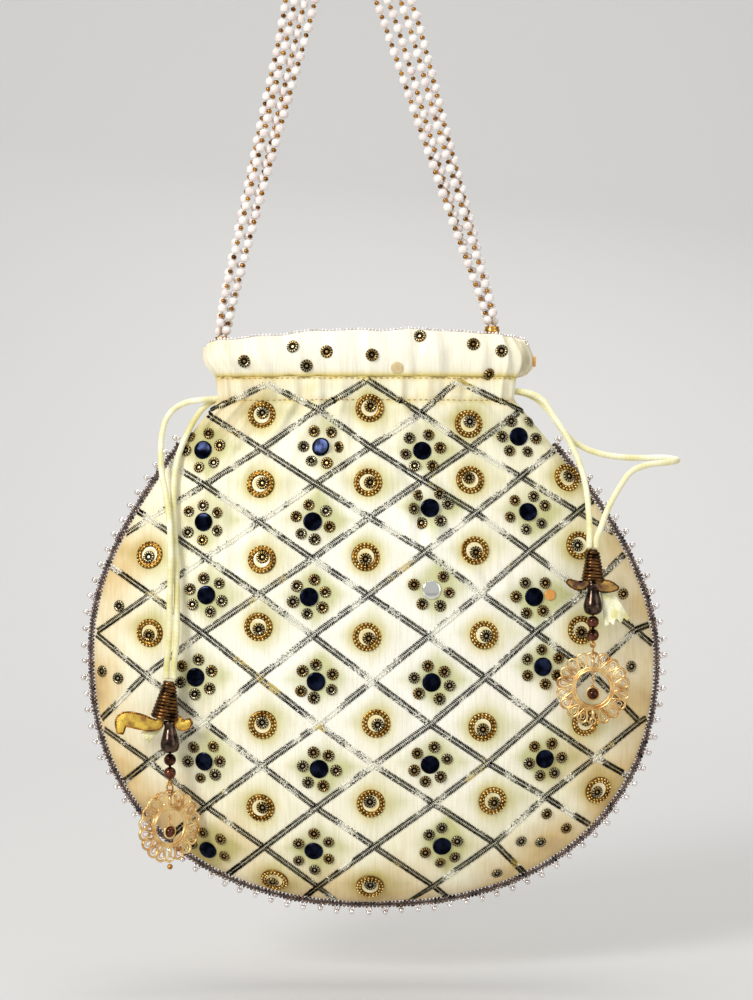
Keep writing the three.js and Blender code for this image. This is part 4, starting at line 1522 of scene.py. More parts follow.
@dataclass(frozen=True)
class Lattice:
    """The diagonal embroidery: motif places by column and half row, and the cords between.

    Each place is where the motif shows in the picture, in pixels.
    """

    gold: dict[tuple[int, int], tuple[float, float]] = field(
        default_factory=lambda: {
            (2, 0): (262, 415), (4, 0): (369.6, 408.5), (6, 0): (468.4, 424),
            (2, 2): (260.6, 484), (4, 2): (368, 482.6), (6, 2): (470, 480), (8, 2): (566.6, 478),
            (0, 4): (150, 555), (2, 4): (262, 559.6), (4, 4): (365.7, 557),
            (6, 4): (474.4, 550.6), (8, 4): (579, 545.4),
            (0, 6): (150, 633), (2, 6): (258.4, 627), (4, 6): (367, 637), (6, 6): (484, 635),
            (8, 6): (581, 630),
            (2, 8): (262.7, 724.7), (4, 8): (376, 723.4), (6, 8): (482.5, 727),
            (8, 8): (585, 722),
            (2, 10): (260.6, 807.7), (4, 10): (371, 803.5), (6, 10): (492.3, 800.4),
            (8, 10): (598, 790),
            (2, 12): (274.7, 879.7), (4, 12): (370, 886),
        }
    )  # fmt: skip
    flowers: dict[tuple[int, int], tuple[float, float]] = field(
        default_factory=lambda: {
            (1, 1): (203, 450), (3, 1): (321, 447), (5, 1): (422, 451), (7, 1): (518.6, 436.5),
            (1, 3): (203.5, 522), (3, 3): (312.6, 521.6), (5, 3): (430, 508), (7, 3): (528, 512),
            (1, 5): (206.4, 595), (3, 5): (309, 597), (5, 5): (431.6, 590), (7, 5): (534, 597),
            (1, 7): (195.5, 677.4), (3, 7): (316, 681.7), (5, 7): (431.6, 682.6),
            (7, 7): (543, 667),
            (1, 9): (204, 761.5), (3, 9): (319, 769), (5, 9): (430, 764.5), (7, 9): (544.7, 759),
            (1, 11): (208, 850), (3, 11): (313.7, 851), (5, 11): (442, 846),
        }
    )  # fmt: skip
    apexes: dict[tuple[int, int], tuple[float, float]] = field(
        default_factory=lambda: {(2, -1): (267.6, 384), (4, -1): (367.7, 380), (6, -1): (456.8, 381)}
    )
    pitch: tuple[float, float] = (54.6, 39.8)
    start: tuple[float, float] = (151.5, 405.0)
    last_broken: int = 7
    gap: float = 3.6
    margin: float = 0.5 * MM

    def crossing(self, i: int, j: int) -> tuple[float, float]:
        """Gives the pixel where two cords cross, from the motifs round it.

        Args:
            i: The column.
            j: The half row.

        Returns:
            The pixel.
        """
        if (i, j) in self.apexes:
            return self.apexes[i, j]
        known = {**self.gold, **self.flowers}
        across = [known.get((i + k, j)) for k in (-1, 1)]
        down = [known.get((i, j + k)) for k in (-1, 1)]
        found = []
        for pair, step in ((across, (self.pitch[0], 0)), (down, (0, self.pitch[1]))):
            if None not in pair:
                found.append([(a + b) / 2 for a, b in zip(*pair)])
                continue
            for place, sign in zip(pair, (1, -1)):
                if place is not None:
                    found.append([a + sign * b for a, b in zip(place, step)])
        if not found:
            return tuple(s + p * n for s, p, n in zip(self.start, self.pitch, (i, j)))
        return tuple(sum(values) / len(found) for values in zip(*found))

    def inside(self, place: Vector) -> bool:
        """Says whether a place is on the front face, clear of its edges."""
        if place.z > SHAPE.casing_top - 0.6 * MM:
            return False
        facts = SHAPE.row_at(place.z)
        reach = facts.half_width - self.margin
        return place.z > -0.3815 and abs(place.x - SHAPE.centre_x - facts.shift) < reach

    def cords(self) -> list[list[Vector]]:
        """Gives the lines of the cords on the front face."""
        lines: list[list[Vector]] = []
        for rising in (True, False):
            for number in range(-13, 25, 2):
                lines.extend(self.cord(rising, number))
        return lines

    def cord(self, rising: bool, number: int) -> list[list[Vector]]:
        """Gives the stretches of one cord that lie on the front face.

        Args:
            rising: Whether the cord rises to the right.
            number: The sum or the difference of its columns and half rows.

        Returns:
            The points of each stretch.
        """
        stops = [(i, number - i if rising else i - number) for i in range(-3, 13)]
        stops = [(i, j) for i, j in stops if -1 <= j <= 14]
        lines: list[list[Vector]] = []
        line: list[Vector] = []
        for first, second in zip(stops, stops[1:]):
            start = Vector(self.crossing(*first))
            end = Vector(self.crossing(*second))
            share = self.gap / (end - start).length
            breaks = [self.breaks(rising, *stop) for stop in (first, second)]
            low = share if breaks[0] else 0.0
            high = 1 - share if breaks[1] else 1.0
            for k in range(31):
                pixel = start.lerp(end, lerp(low, high, k / 30))
                place = VIEW.on_front(*pixel)
                if self.inside(place):
                    line.append(place)
                elif line:
                    lines.append(line)
                    line = []
            if breaks[1] and line:
                lines.append(line)
                line = []
        if line:
            lines.append(line)
        return [line for line in lines if len(line) > 2]

    def breaks(self, rising: bool, i: int, j: int) -> bool:
        """Says whether a cord is broken where it meets the other one."""
        return (i + j <= self.last_broken) == rising


LATTICE = Lattice()
FRILL_SEQUINS = (
    (244, 361), (293, 347), (327, 352), (306.5, 366), (372, 355.5), (220, 384), (420, 336),
    (473.5, 344), (502, 350.6), (489, 373.6),
)  # fmt: skip
SINGLE_SEQUINS = (
    (119.6, 606), (102.7, 671), (118.5, 678), (623, 594), (631, 666.5), (546.5, 813.6),
    (566, 828), (521, 841), (540.5, 842), (497, 873),
)  # fmt: skip
FLOWER_REACH = 17.3
PALE_FLOWER = (5, 5)
DISC_FLOWER = (7, 5)
MISSING_CUPS = {PALE_FLOWER: 1, DISC_FLOWER: 0}


@dataclass(frozen=True)
class Relief:
    """The gathers, creases and dimples of the cloth, as lifts off its smooth face."""

    folds: int = 13
    gather: float = 1.5 * MM
    fall: float = 25 * MM
    swell: float = 0.9 * MM
    stitch_dip: float = 0.7 * MM
    deepest: float = 0.6 * MM
    cord_dip: float = 0.4 * MM
    motif_dip: float = 0.4 * MM
    dents: tuple[tuple[float, float, float, float], ...] = (
        (446, 512, 13, 1.3), (318, 560, 22, 0.7), (215, 640, 20, 0.7), (553, 676, 32, 1.5),
        (196, 812, 26, 1.0),
    )  # fmt: skip
    creases: tuple[tuple[tuple[float, float], ...], ...] = (
        ((448, 532), (470, 552), (492, 584)),
        ((405, 470), (420, 500), (421, 540)),
        ((235, 470), (232, 520), (238, 570)),
        ((330, 420), (338, 452), (352, 476)),
    )

    def folds_at(self, across: np.ndarray, seed: float) -> np.ndarray:
        """Gives uneven folds across the neck, from -1 to 1.

        Args:
            across: The place from -1 to 1.
            seed: What sets one side's folds apart from the other's.

        Returns:
            The height of the folds.
        """
        wander = np.array([noise.noise((a * 2.6, seed, 0.5)) for a in across])
        uneven = np.array([0.65 + 0.7 * noise.noise((a * 5.1, seed, 4.5)) for a in across])
        phase = math.pi * self.folds * across + 3.4 * wander
        return (np.sin(phase) + 0.28 * np.sin(2.3 * phase + 1.2)) * uneven

    def cloudy(self, x: np.ndarray, z: np.ndarray, scale: float, seed: float) -> np.ndarray:
        """Gives smooth noise of a given size over the face."""
        return np.array([noise.noise((a / scale, seed, b / scale)) for a, b in zip(x, z)])

    def lift(self, across: np.ndarray, place: np.ndarray, side: Side) -> np.ndarray:
        """Works out how far the cloth stands off its smooth face.

        Args:
            across: The place across each point's row, from -1 to 1.
            place: The points, one in each row.
            side: The side of the pouch.

        Returns:
            The lift of each point in metres.
        """
        x, z = place[:, 0], place[:, 2]
        below = np.maximum(0.0, SHAPE.waist_z - z)
        above = np.maximum(0.0, z - SHAPE.waist_z)
        fade = np.clip((1 - np.abs(across)) / 0.22, 0, 1) ** 1.2
        fold = 0.3 + self.folds_at(across, 1.7 if side is Side.FRONT else 8.3)
        weight = np.exp(-below / self.fall) * (1 - 0.35 * above / SHAPE.casing_height)
        if side is Side.FRONT:
            weight *= 1 - 0.95 * self.near_motifs(x, z)
        lift = self.gather * fold * weight
        lift += self.swell * self.cloudy(x, z, 0.034, 2.1 * side.value)
        lift += 0.34 * self.swell * self.cloudy(x, z, 0.011, 5.3 * side.value)
        seam = np.exp(-(((z - SHAPE.waist_z) / (1.1 * MM)) ** 2))
        top = np.exp(-(((z - SHAPE.casing_top) / (1.2 * MM)) ** 2))
        lift -= self.stitch_dip * (seam + top)
        if side is Side.FRONT:
            lift += self.embroidered(x, z)
        high = np.clip((z - SHAPE.waist_z + 20 * MM) / (12 * MM), 0, 1)
        lift = np.where(high > 0, np.maximum(lift, -self.deepest / np.maximum(high, 1e-3)), lift)
        return lift * fade

    def near_motifs(self, x: np.ndarray, z: np.ndarray, flowers: bool = True) -> np.ndarray:
        """Gives where the cloth lies flat under sewn motifs, from 0 to 1.

        Args:
            x: The points' places across.
            z: Their heights.
            flowers: Whether the mirror flowers count as well as the gold sequins.

        Returns:
            The amount at each point.
        """
        amount = np.zeros(len(x))
        groups = [(LATTICE.gold, 8.2), (LATTICE.flowers, 10.2)]
        for pixels, radius in groups if flowers else groups[:1]:
            for pixel in pixels.values():
                centre = VIEW.on_front(*pixel)
                far = np.hypot(x - centre.x, z - centre.z) / (radius * MM)
                amount = np.maximum(amount, np.exp(-(far**6)))
        return amount

    def stain(self, face: np.ndarray) -> np.ndarray:
        """Gives the painted shade, a warm yellow, round the gold sequins, along the seams and in the neck's
        gathers, from 0 to 1.
        """
        x, z = face[:, 0], face[:, 2]
        amount = np.zeros(len(x))
        for pixel in LATTICE.gold.values():
            centre = VIEW.on_front(*pixel)
            far = np.hypot(x - centre.x, z - centre.z) / (7.4 * MM)
            amount = np.maximum(amount, np.exp(-(far**4)))
        for height, full in ((SHAPE.casing_top, 0.9), (SHAPE.waist_z, 0.7)):
            seam = full * np.exp(-(((z - height) / (1.6 * MM)) ** 2))
            amount = np.maximum(amount, seam)
        neck = np.exp(-np.abs(z - SHAPE.waist_z) / (14 * MM))
        amount = np.maximum(amount, 0.9 * neck * np.maximum(0, self.cloudy(x, z, 0.009, 3.0)))
        cloud = 0.75 + 0.5 * self.cloudy(x, z, 0.006, 12.0)
        return np.clip(amount * cloud, 0, 1)

    def tint(self, face: np.ndarray) -> np.ndarray:
        """Gives the painted greenish shade in the cells of the lattice, from 0 to 1."""
        x, z = face[:, 0], face[:, 2]
        amount = np.zeros(len(x))
        for pixels, full in ((LATTICE.flowers, 1.0), (LATTICE.gold, 0.5)):
            for px, py in pixels.values():
                centre = VIEW.on_front(px + 5, py - 2)
                far = (np.abs(x - centre.x) / 14 + np.abs(z - centre.z) / 12) / MM
                amount = np.maximum(amount, full * np.exp(-(far**5)))
        cloud = 0.9 + 1.0 * self.cloudy(x, z, 0.016, 21.0) + 0.3 * self.cloudy(x, z, 0.006, 5.0)
        return np.clip(amount * cloud, 0, 1)

    def embroidered(self, x: np.ndarray, z: np.ndarray) -> np.ndarray:
        """Gives the dents, creases and dimples of the front face."""
        lift = np.zeros(len(x))
        for px, py, radius, depth in self.dents:
            centre = VIEW.on_front(px, py)
            far = ((x - centre.x) ** 2 + (z - centre.z) ** 2) / (radius * VIEW.pixel * 1.6) ** 2
            lift -= depth * MM * np.exp(-far)
        for crease in self.creases:
            line = [VIEW.on_front(*pixel) for pixel in crease]
            far = distance_to([line], x, z)
            lift -= 1.3 * MM * np.exp(-((far / (2.0 * MM)) ** 2))
            lift += 0.6 * MM * np.exp(-(((far - 4.4 * MM) / (2.4 * MM)) ** 2))
        lift *= 1 - 0.92 * self.near_motifs(x, z, flowers=False)
        far = distance_to(LATTICE.cords(), x, z)
        lift -= self.cord_dip * np.exp(-((far / (2.6 * MM)) ** 2))
        for pixels, radius in ((LATTICE.gold, 6.2), (LATTICE.flowers, 8.6)):
            for pixel in pixels.values():
                centre = VIEW.on_front(*pixel)
                far = np.hypot(x - centre.x, z - centre.z) / (radius * MM)
                lift -= self.motif_dip * np.exp(-(far**4))
        return lift


def distance_to(lines: Sequence[Sequence[Vector]], x: np.ndarray, z: np.ndarray) -> np.ndarray:
    """Gives each point's distance to the nearest line, seen from the front.

    Args:
        lines: The points of each line.
        x: The points' places across.
        z: Their heights.

    Returns:
        The distances.
    """
    best = np.full(len(x), 1.0)
    for line in lines:
        picked = [line[0], *line[4:-1:9], line[-1]] if len(line) > 12 else line
        for a, b in zip(picked, picked[1:]):
            dx, dz = b.x - a.x, b.z - a.z
            size = dx * dx + dz * dz + 1e-12
            share = np.clip(((x - a.x) * dx + (z - a.z) * dz) / size, 0, 1)
            best = np.minimum(best, np.hypot(x - a.x - share * dx, z - a.z - share * dz))
    return best


RELIEF = Relief()

Grid = list[list[Vector]]


def shell(outer: Grid, inner: Grid) -> Shape:
    """Closes the two faces of a wall into one body.

    Args:
        outer: The rows of points of its outer face.
        inner: The rows of points of its inner face.

    Returns:
        The closed wall.
    """
    rows, columns = len(outer), len(outer[0])
    points = [point for row in outer for point in row] + [point for row in inner for point in row]
    behind = rows * columns
    faces: list[tuple[int, ...]] = []
    for r in range(rows - 1):
        for c in range(columns - 1):
            a = r * columns + c
            quad = (a, a + columns, a + columns + 1, a + 1)
            faces.append(quad)
            faces.append(tuple(behind + corner for corner in reversed(quad)))
    top = list(range(columns))
    right = [r * columns + columns - 1 for r in range(1, rows)]
    bottom = [(rows - 1) * columns + c for c in range(columns - 2, -1, -1)]
    left = [r * columns for r in range(rows - 2, 0, -1)]
    border = top + right + bottom + left
    for a, b in zip(border, border[1:] + border[:1]):
        faces.append((a, b, behind + b, behind + a))
    return points, faces


def face_guide(name: str, face: np.ndarray) -> bpy.types.Object:
    """Makes a hidden open face that sewn pieces are laid on.

    Args:
        name: The guide's name.
        face: Rows by columns of points, with its front on the side of -Y.

    Returns:
        The hidden guide.
    """
    rows, columns = face.shape[:2]
    quads = []
    for r in range(rows - 1):
        for c in range(columns - 1):
            a = r * columns + c
            quads.append((a, a + columns, a + columns + 1, a + 1))
    mesh = bpy.data.meshes.new(name)
    mesh.from_pydata(face.reshape(-1, 3).tolist(), [], quads)
    if mesh.polygons[len(quads) // 2].normal.y > 0:
        mesh.flip_normals()
    mesh.shade_smooth()
    guide = bpy.data.objects.new(name, mesh)
    bpy.context.scene.collection.objects.link(guide)
    guide.hide_render = True
    return guide


@dataclass
class Wall:
    """A cloth wall of the pouch: a panel, or the lining behind it."""

    side: Side
    name: str
    stands_for: str
    finish: Finish = SILK
    columns: int = 190
    casing_rows: int = 9
    upper_rows: int = 82
    lower_rows: int = 76
    first_share: float = 0.0
    inset: float = 0.0
    thickness: float = 1.2 * MM
    thinnest: float = 0.3 * MM
    lined: bool = False
    flat: tuple[float, float] = (0.24, 0.23)
    cut_area: float = 0.041
    guide: bpy.types.Object | None = field(default=None, init=False)

    def rows(self) -> list[tuple[Stage, float]]:
        """Gives the wall's rows from its top edge to the bottom seam."""
        found = []
        if self.casing_rows:
            found += [(Stage.CASING, 1 - i / self.casing_rows) for i in range(self.casing_rows)]
        for i in range(self.upper_rows + 1):
            found.append((Stage.UPPER, lerp(self.first_share, 1.0, i / self.upper_rows)))
        for i in range(1, self.lower_rows + 1):
            found.append((Stage.LOWER, SHAPE.last_turn * i / self.lower_rows))
        return found

    def face(self, inset: float) -> np.ndarray:
        """Gives the smooth face that lies inset inside the pouch's outer one.

        Args:
            inset: The distance inside.

        Returns:
            Rows by columns of points.
        """
        bulge = SHAPE.bulge(self.side)
        shares = np.linspace(-1, 1, self.columns)
        rows = [SHAPE.row(stage, share, bulge, inset) for stage, share in self.rows()]
        return np.array(
            [[SHAPE.point(a, facts, inset, self.side) for a in shares] for facts in rows]
        )

    def outward(self, face: np.ndarray) -> np.ndarray:
        """Gives the outward direction at each point of a face."""
        normal = np.cross(np.gradient(face, axis=0), np.gradient(face, axis=1))
        normal /= np.maximum(np.linalg.norm(normal, axis=2, keepdims=True), 1e-12)
        middle = normal[len(normal) // 2, self.columns // 2, 1]
        return normal * (-self.side.value * np.sign(middle))

    def build(self) -> bpy.types.Object:
        """Makes the wall with its relief.

        Returns:
            The new piece.
        """
        outer = self.face(self.inset)
        inner = self.face(self.inset + self.thickness)
        normal = self.outward(outer)
        across = np.tile(np.linspace(-1, 1, self.columns), len(outer))
        lift = RELIEF.lift(across, outer.reshape(-1, 3), self.side).reshape(outer.shape[:2])
        slack = self.thickness - self.thinnest
        follow = np.minimum(np.maximum(lift, -0.35 * MM), lift + slack)
        if self.lined:
            lift = np.minimum(follow, 0.0) * 1.0
            follow = lift
        outer = outer + normal * lift[..., None]
        inner = inner + normal * follow[..., None]
        grids = [[[Vector(point) for point in row] for row in face] for face in (outer, inner)]
        points, faces = shell(*grids)
        piece = shape_object(self.name, points, faces, self.finish)
        if self.side is Side.FRONT and not self.lined:
            # Keeps the painted shade and the painted greenish shade of the lattice cells on the cloth's
            # points.
            for label, amount in (("stain", RELIEF.stain), ("tint", RELIEF.tint)):
                layer = piece.data.attributes.new(label, "FLOAT", "POINT")
                layer.data.foreach_set("value", np.concatenate([amount(outer.reshape(-1, 3))] * 2))
            self.guide = face_guide(f"{self.name}_guide", outer)
        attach(piece, "bag")
        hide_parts(self.stands_for)
        log.info("%s: %d points", self.name, len(points))
        return piece


@dataclass
class CasingStrip:
    """The strip of lining cloth that backs the drawstring casing."""

    side: Side
    thickness: float = 0.8 * MM
    tunnel: float = 3.1 * MM
    short: float = 10 * MM
    columns: int = 110
    rows: int = 14
    top: float = -0.5 * MM
    bottom: float = -1.6 * MM
    ripple: float = 0.25 * MM

    def point(self, across: float, down: float, back: float) -> Vector:
        """Gives a point of the strip, back behind its face towards the inside."""
        straight = SHAPE.neck_width / 2 - SHAPE.end_radius
        x = across * (straight - self.short)
        bow = SHAPE.bow * (1 - (x / straight) ** 2) ** 2
        wave = self.ripple * (1 + math.sin(46 * across + 2 * math.sin(9 * across)))
        depth = SHAPE.end_radius - SHAPE.cloth_wall - self.tunnel - back - wave + bow
        z = lerp(SHAPE.casing_top + self.top, SHAPE.waist_z + self.bottom, down)
        return Vector((SHAPE.neck_x + self.side.value * x, -self.side.value * depth, z))

    def build(self) -> bpy.types.Object:
        """Makes the strip."""
        grids = [
            [
                [self.point(2 * c / self.columns - 1, r / self.rows, back) for c in range(self.columns + 1)]
                for r in range(self.rows + 1)
            ]
            for back in (0.0, self.thickness)
        ]
        name = f"{self.side.label}_casing_backing"
        piece = shape_object(name, *shell(*grids), LINING)
        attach(piece, "bag")
        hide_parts(f"{self.side.label}_casing_strip")
        return piece


@dataclass
class Frill:
    """The puffed, gathered frill above the casing, with beads along its edge."""

    side: Side
    wall: float = 2 * MM
    flare: float = 5 * MM
    top_z: float = -159.2 * MM
    crown: float = 4.4 * MM
    tilt: float = 1.6 * MM
    tuck: float = 6 * MM
    pouf: float = 4.6 * MM
    puff: float = 2.0 * MM
    fold: float = 1.35 * MM
    folds: float = 11
    columns: int = 230
    steps: int = 15
    wavy: float = 1.1 * MM
    bead: float = 0.62 * MM
    bead_pitch: float = 1.42 * MM
    guide: bpy.types.Object | None = field(default=None, init=False)

    def point(self, across: float, height: float, inset: float) -> Vector:
        """Gives a point of the smooth frill.

        Args:
            across: The place from -1 to 1.
            height: From 0 at the casing to 1 at the top edge.
            inset: How far it lies inside the outer face.

        Returns:
            The point in the frame.
        """
        turn = self.side.value
        wide = SHAPE.neck_width / 2 + SHAPE.casing_flare + self.flare * math.sin(height * math.pi / 2)
        if self.side is Side.FRONT and across > 0:
            wide -= self.tuck * height
        if self.side is Side.BACK and across < 0:
            wide += self.pouf * math.sin(math.pi * math.sqrt(min(1.0, max(0.0, height))))
        x, depth = SHAPE.neck_wall(across, wide, SHAPE.slit, inset)
        u = across * turn
        top = self.top_z + self.crown * (1 - u * u) + self.tilt * u
        top += self.wavy * noise.noise((across * 5.5, turn, 7.0))
        foot = SHAPE.casing_top + 0.03 * MM
        return Vector((SHAPE.neck_x + turn * x, -turn * depth, lerp(foot, top, height)))

    def swell(self, across: float, height: float) -> float:
        """Gives how far the frill puffs out of its smooth face."""
        seed = 3.3 if self.side is Side.FRONT else 9.1
        wander = 3.6 * noise.noise((across * 2.3, seed, 0.0)) + 0.5 * height
        phase = math.pi * self.folds * across + wander
        uneven = 0.7 + 0.9 * noise.noise((across * 4.2, seed, 3.0))
        fold = (math.sin(phase) + 0.3 * math.sin(2.1 * phase + 1)) * uneven * self.fold
        puff = self.puff * math.sin(math.pi * min(1.0, height * 1.02) ** 0.9)
        fade = min(1.0, (1 - abs(across)) / 0.12) ** 0.7
        ends = 1 - 0.35 * height
        small = 0.35 * MM * noise.noise((across * 14, height * 2.2, seed))
        round_end = min(1.0, (1 - abs(across)) / 0.03)
        return puff * (0.75 + 0.4 * uneven) * round_end + (fold * ends + small) * fade

    def section(self, across: float) -> list[Vector]:
        """Gives the points round the frill's section at one place."""
        loop = []
        for i in range(self.steps + 1):
            height = i / self.steps
            loop.append(self.point(across, height, -self.swell(across, height)))
        top = self.swell(across, 1.0)
        for k in range(1, 6):
            turn = math.pi * k / 6
            inset = self.wall / 2 * (1 - math.cos(turn)) - top
            place = self.point(across, 1.0, inset)
            loop.append(place + Vector((0, 0, 0.55 * MM * math.sin(turn))))
        for i in range(self.steps, -1, -1):
            height = i / self.steps
            inset = self.wall - 0.55 * self.swell(across, height) * height
            loop.append(self.point(across, height, inset))
        return loop

    def end_disc(self, frill: bpy.types.Object) -> None:
        """Sews a small disc to the frill's right end, where it shows from its edge.

        Args:
            frill: The back frill.
        """
        height = -165.4 * MM
        level = [v.co for v in frill.data.vertices if abs(v.co.z - height) < 1.2 * MM]
        turn = Matrix.Translation(max(level, key=lambda place: place.x))
        turn @= Matrix.Rotation(math.pi / 2, 4, "Y")
        outline = [(0, -0.6), (2.0, -0.6), (2.3, -0.1), (2.35, 0.3), (2.1, 0.5), (0, 0.5)]
        shape = lathe([(r * MM, h * MM) for r, h in outline], 28)
        disc = shape_object("edge_disc", *moved(shape, turn), ORANGE_DISC)
        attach(disc, "bag")

    def edge(self) -> list[Vector]:
        """Gives the line of the beads: up one slit edge, along the top and down the other."""
        beyond = self.bead + 0.35 * MM
        places = []
        for sign in (-1, 1):
            slit = []
            for height in (0.12, 0.32, 0.52, 0.72, 0.9):
                place = self.point(sign, height, self.wall / 2)
                out = Vector((sign * 0.45, 0.9, 0)) * (beyond * self.side.value)
                slit.append(place + out)
            if sign < 0:
                places.extend(slit if self.side is Side.FRONT else slit[-1:])
                for i in range(-38, 39):
                    across = i / 38 * 0.985
                    inset = self.wall / 2 - self.swell(across, 1.0)
                    lift = 0.45 * MM + self.bead * 0.75
                    places.append(self.point(across, 1.0, inset) + Vector((0, 0, lift)))
            else:
                places.extend(reversed(slit))
        return evenly(through(places, 4), 0.4 * MM)

    def build(self, beads: Recipe) -> bpy.types.Object:
        """Makes the frill and its beads.

        Args:
            beads: The recipe for beads along a line.

        Returns:
            The frill.
        """
        loops = [self.section(2 * c / self.columns - 1) for c in range(self.columns + 1)]
        size = len(loops[0])
        points = [point for loop in loops for point in loop]
        faces: list[tuple[int, ...]] = []
        for c in range(self.columns):
            for k in range(size):
                a, b = c * size + k, c * size + (k + 1) % size
                faces.append((a, a + size, b + size, b))
        faces.append(tuple(range(size)))
        faces.append(tuple(range(len(points) - 1, len(points) - size - 1, -1)))
        label = self.side.label
        piece = shape_object(f"{label}_gathered_frill", points, faces, FRILL_SILK)
        # Painted shade at the frill's foot, by the casing seam.
        low = [max(0.0, 1 - k / 2.2) if k <= self.steps else 0.0 for k in range(size)]
        layer = piece.data.attributes.new("stain", "FLOAT", "POINT")
        layer.data.foreach_set("value", low * len(loops))
        if self.side is Side.FRONT:
            outer = np.array([[tuple(p) for p in loop[: self.steps + 1]] for loop in loops])
            self.guide = face_guide(f"{label}_frill_guide", outer)
        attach(piece, "bag")
        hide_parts(f"{label}_frill")
        line = self.edge()
        trim = beads.make(
            f"{label}_mouth_beads",
            line_mesh("edge", [line]),
            SILVER,
            Start=0.3 * MM,
            Count=round(length_of(line) / self.bead_pitch),
            Radius=self.bead,
            Flatness=1.0,
            Divisions=2,
            Unevenness=0.1,
        )
        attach(trim, "bag")
        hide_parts(f"{label}_mouth_trim")
        return piece


@dataclass
class SeamEdge:
    """The seed beads and picots sewn along the seam."""

    near: float = 0.7 * MM
    far: float = 1.95 * MM
    start_share: float = 0.17
    seed: float = 0.82 * MM
    seed_pitch: float = 1.52 * MM
    core: float = 0.45 * MM
    picot_pitch: float = 6.4 * MM
    reach: float = 2.3 * MM
    picot: float = 1.15 * MM

    def line(self, out: float) -> list[Vector]:
        """Gives a line beside the seam, from the left of the neck round to the right.

        Args:
            out: Its distance beyond the seam.

        Returns:
            The points of the line.
        """
        half: list[tuple[Vector, float]] = []
        bulge = SHAPE.front_bulge
        for i in range(30):
            share = lerp(self.start_share, 1.0, i / 30)
            facts = SHAPE.row(Stage.UPPER, share, bulge, 0.0)
            half.append((Vector((facts.half_width, 0, facts.z)), facts.shift))
        for i in range(41):
            facts = SHAPE.row(Stage.LOWER, SHAPE.last_turn * i / 40, bulge, 0.0)
            half.append((Vector((facts.half_width, 0, facts.z)), 0.0))
        outer = []
        for i, (point, shift) in enumerate(half):
            before, after = half[max(0, i - 1)][0], half[min(len(half) - 1, i + 1)][0]
            along = (after - before).normalized()
            outer.append((point + Vector((-along.z, 0, along.x)) * out, shift))
        centre = SHAPE.centre_x
        left = [Vector((centre + shift - p.x, 0, p.z)) for p, shift in outer]
        right = [Vector((centre + shift + p.x, 0, p.z)) for p, shift in outer]
        bottom = Vector((centre, 0, SHAPE.widest_z - SHAPE.lower_height - out))
        return evenly(through([*left, bottom, *reversed(right)], 3), 0.5 * MM)

    def build(self, beads: Recipe, picots: Recipe) -> None:
        """Makes the seed beads and the picots.

        Args:
            beads: The recipe for beads along a line.
            picots: The recipe for picots.
        """
        middle = evenly(self.line((self.near + self.far) / 2), self.seed)
        core = sweep("seam_thread", middle, lambda _: (self.core, self.core), 8, DARK_THREAD)
        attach(core, "bag")
        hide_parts("seam_trim")
        for name, out, start in (("seam_seeds", self.near, 0.5), ("seam_loops", self.far, 1.25)):
            line = self.line(out)
            seeds = beads.make(
                name,
                line_mesh("seam", [line]),
                SEED,
                Start=start * MM,
                Count=round(length_of(line) / self.seed_pitch),
                Radius=self.seed,
                Flatness=0.95,
                Divisions=1,
                Unevenness=0.16,
            )
            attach(seeds, "bag")
            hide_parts("seam_trim")
        tips = picots.make(
            "seam_picots",
            line_mesh("picots", [line[::-1]]),
            SILVER,
            Spacing=self.picot_pitch,
            Reach=self.reach,
            Radius=self.picot,
        )
        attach(tips, "bag")
        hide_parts("seam_trim")
        log.info("seam: %.1f mm of beads", length_of(line) / MM)


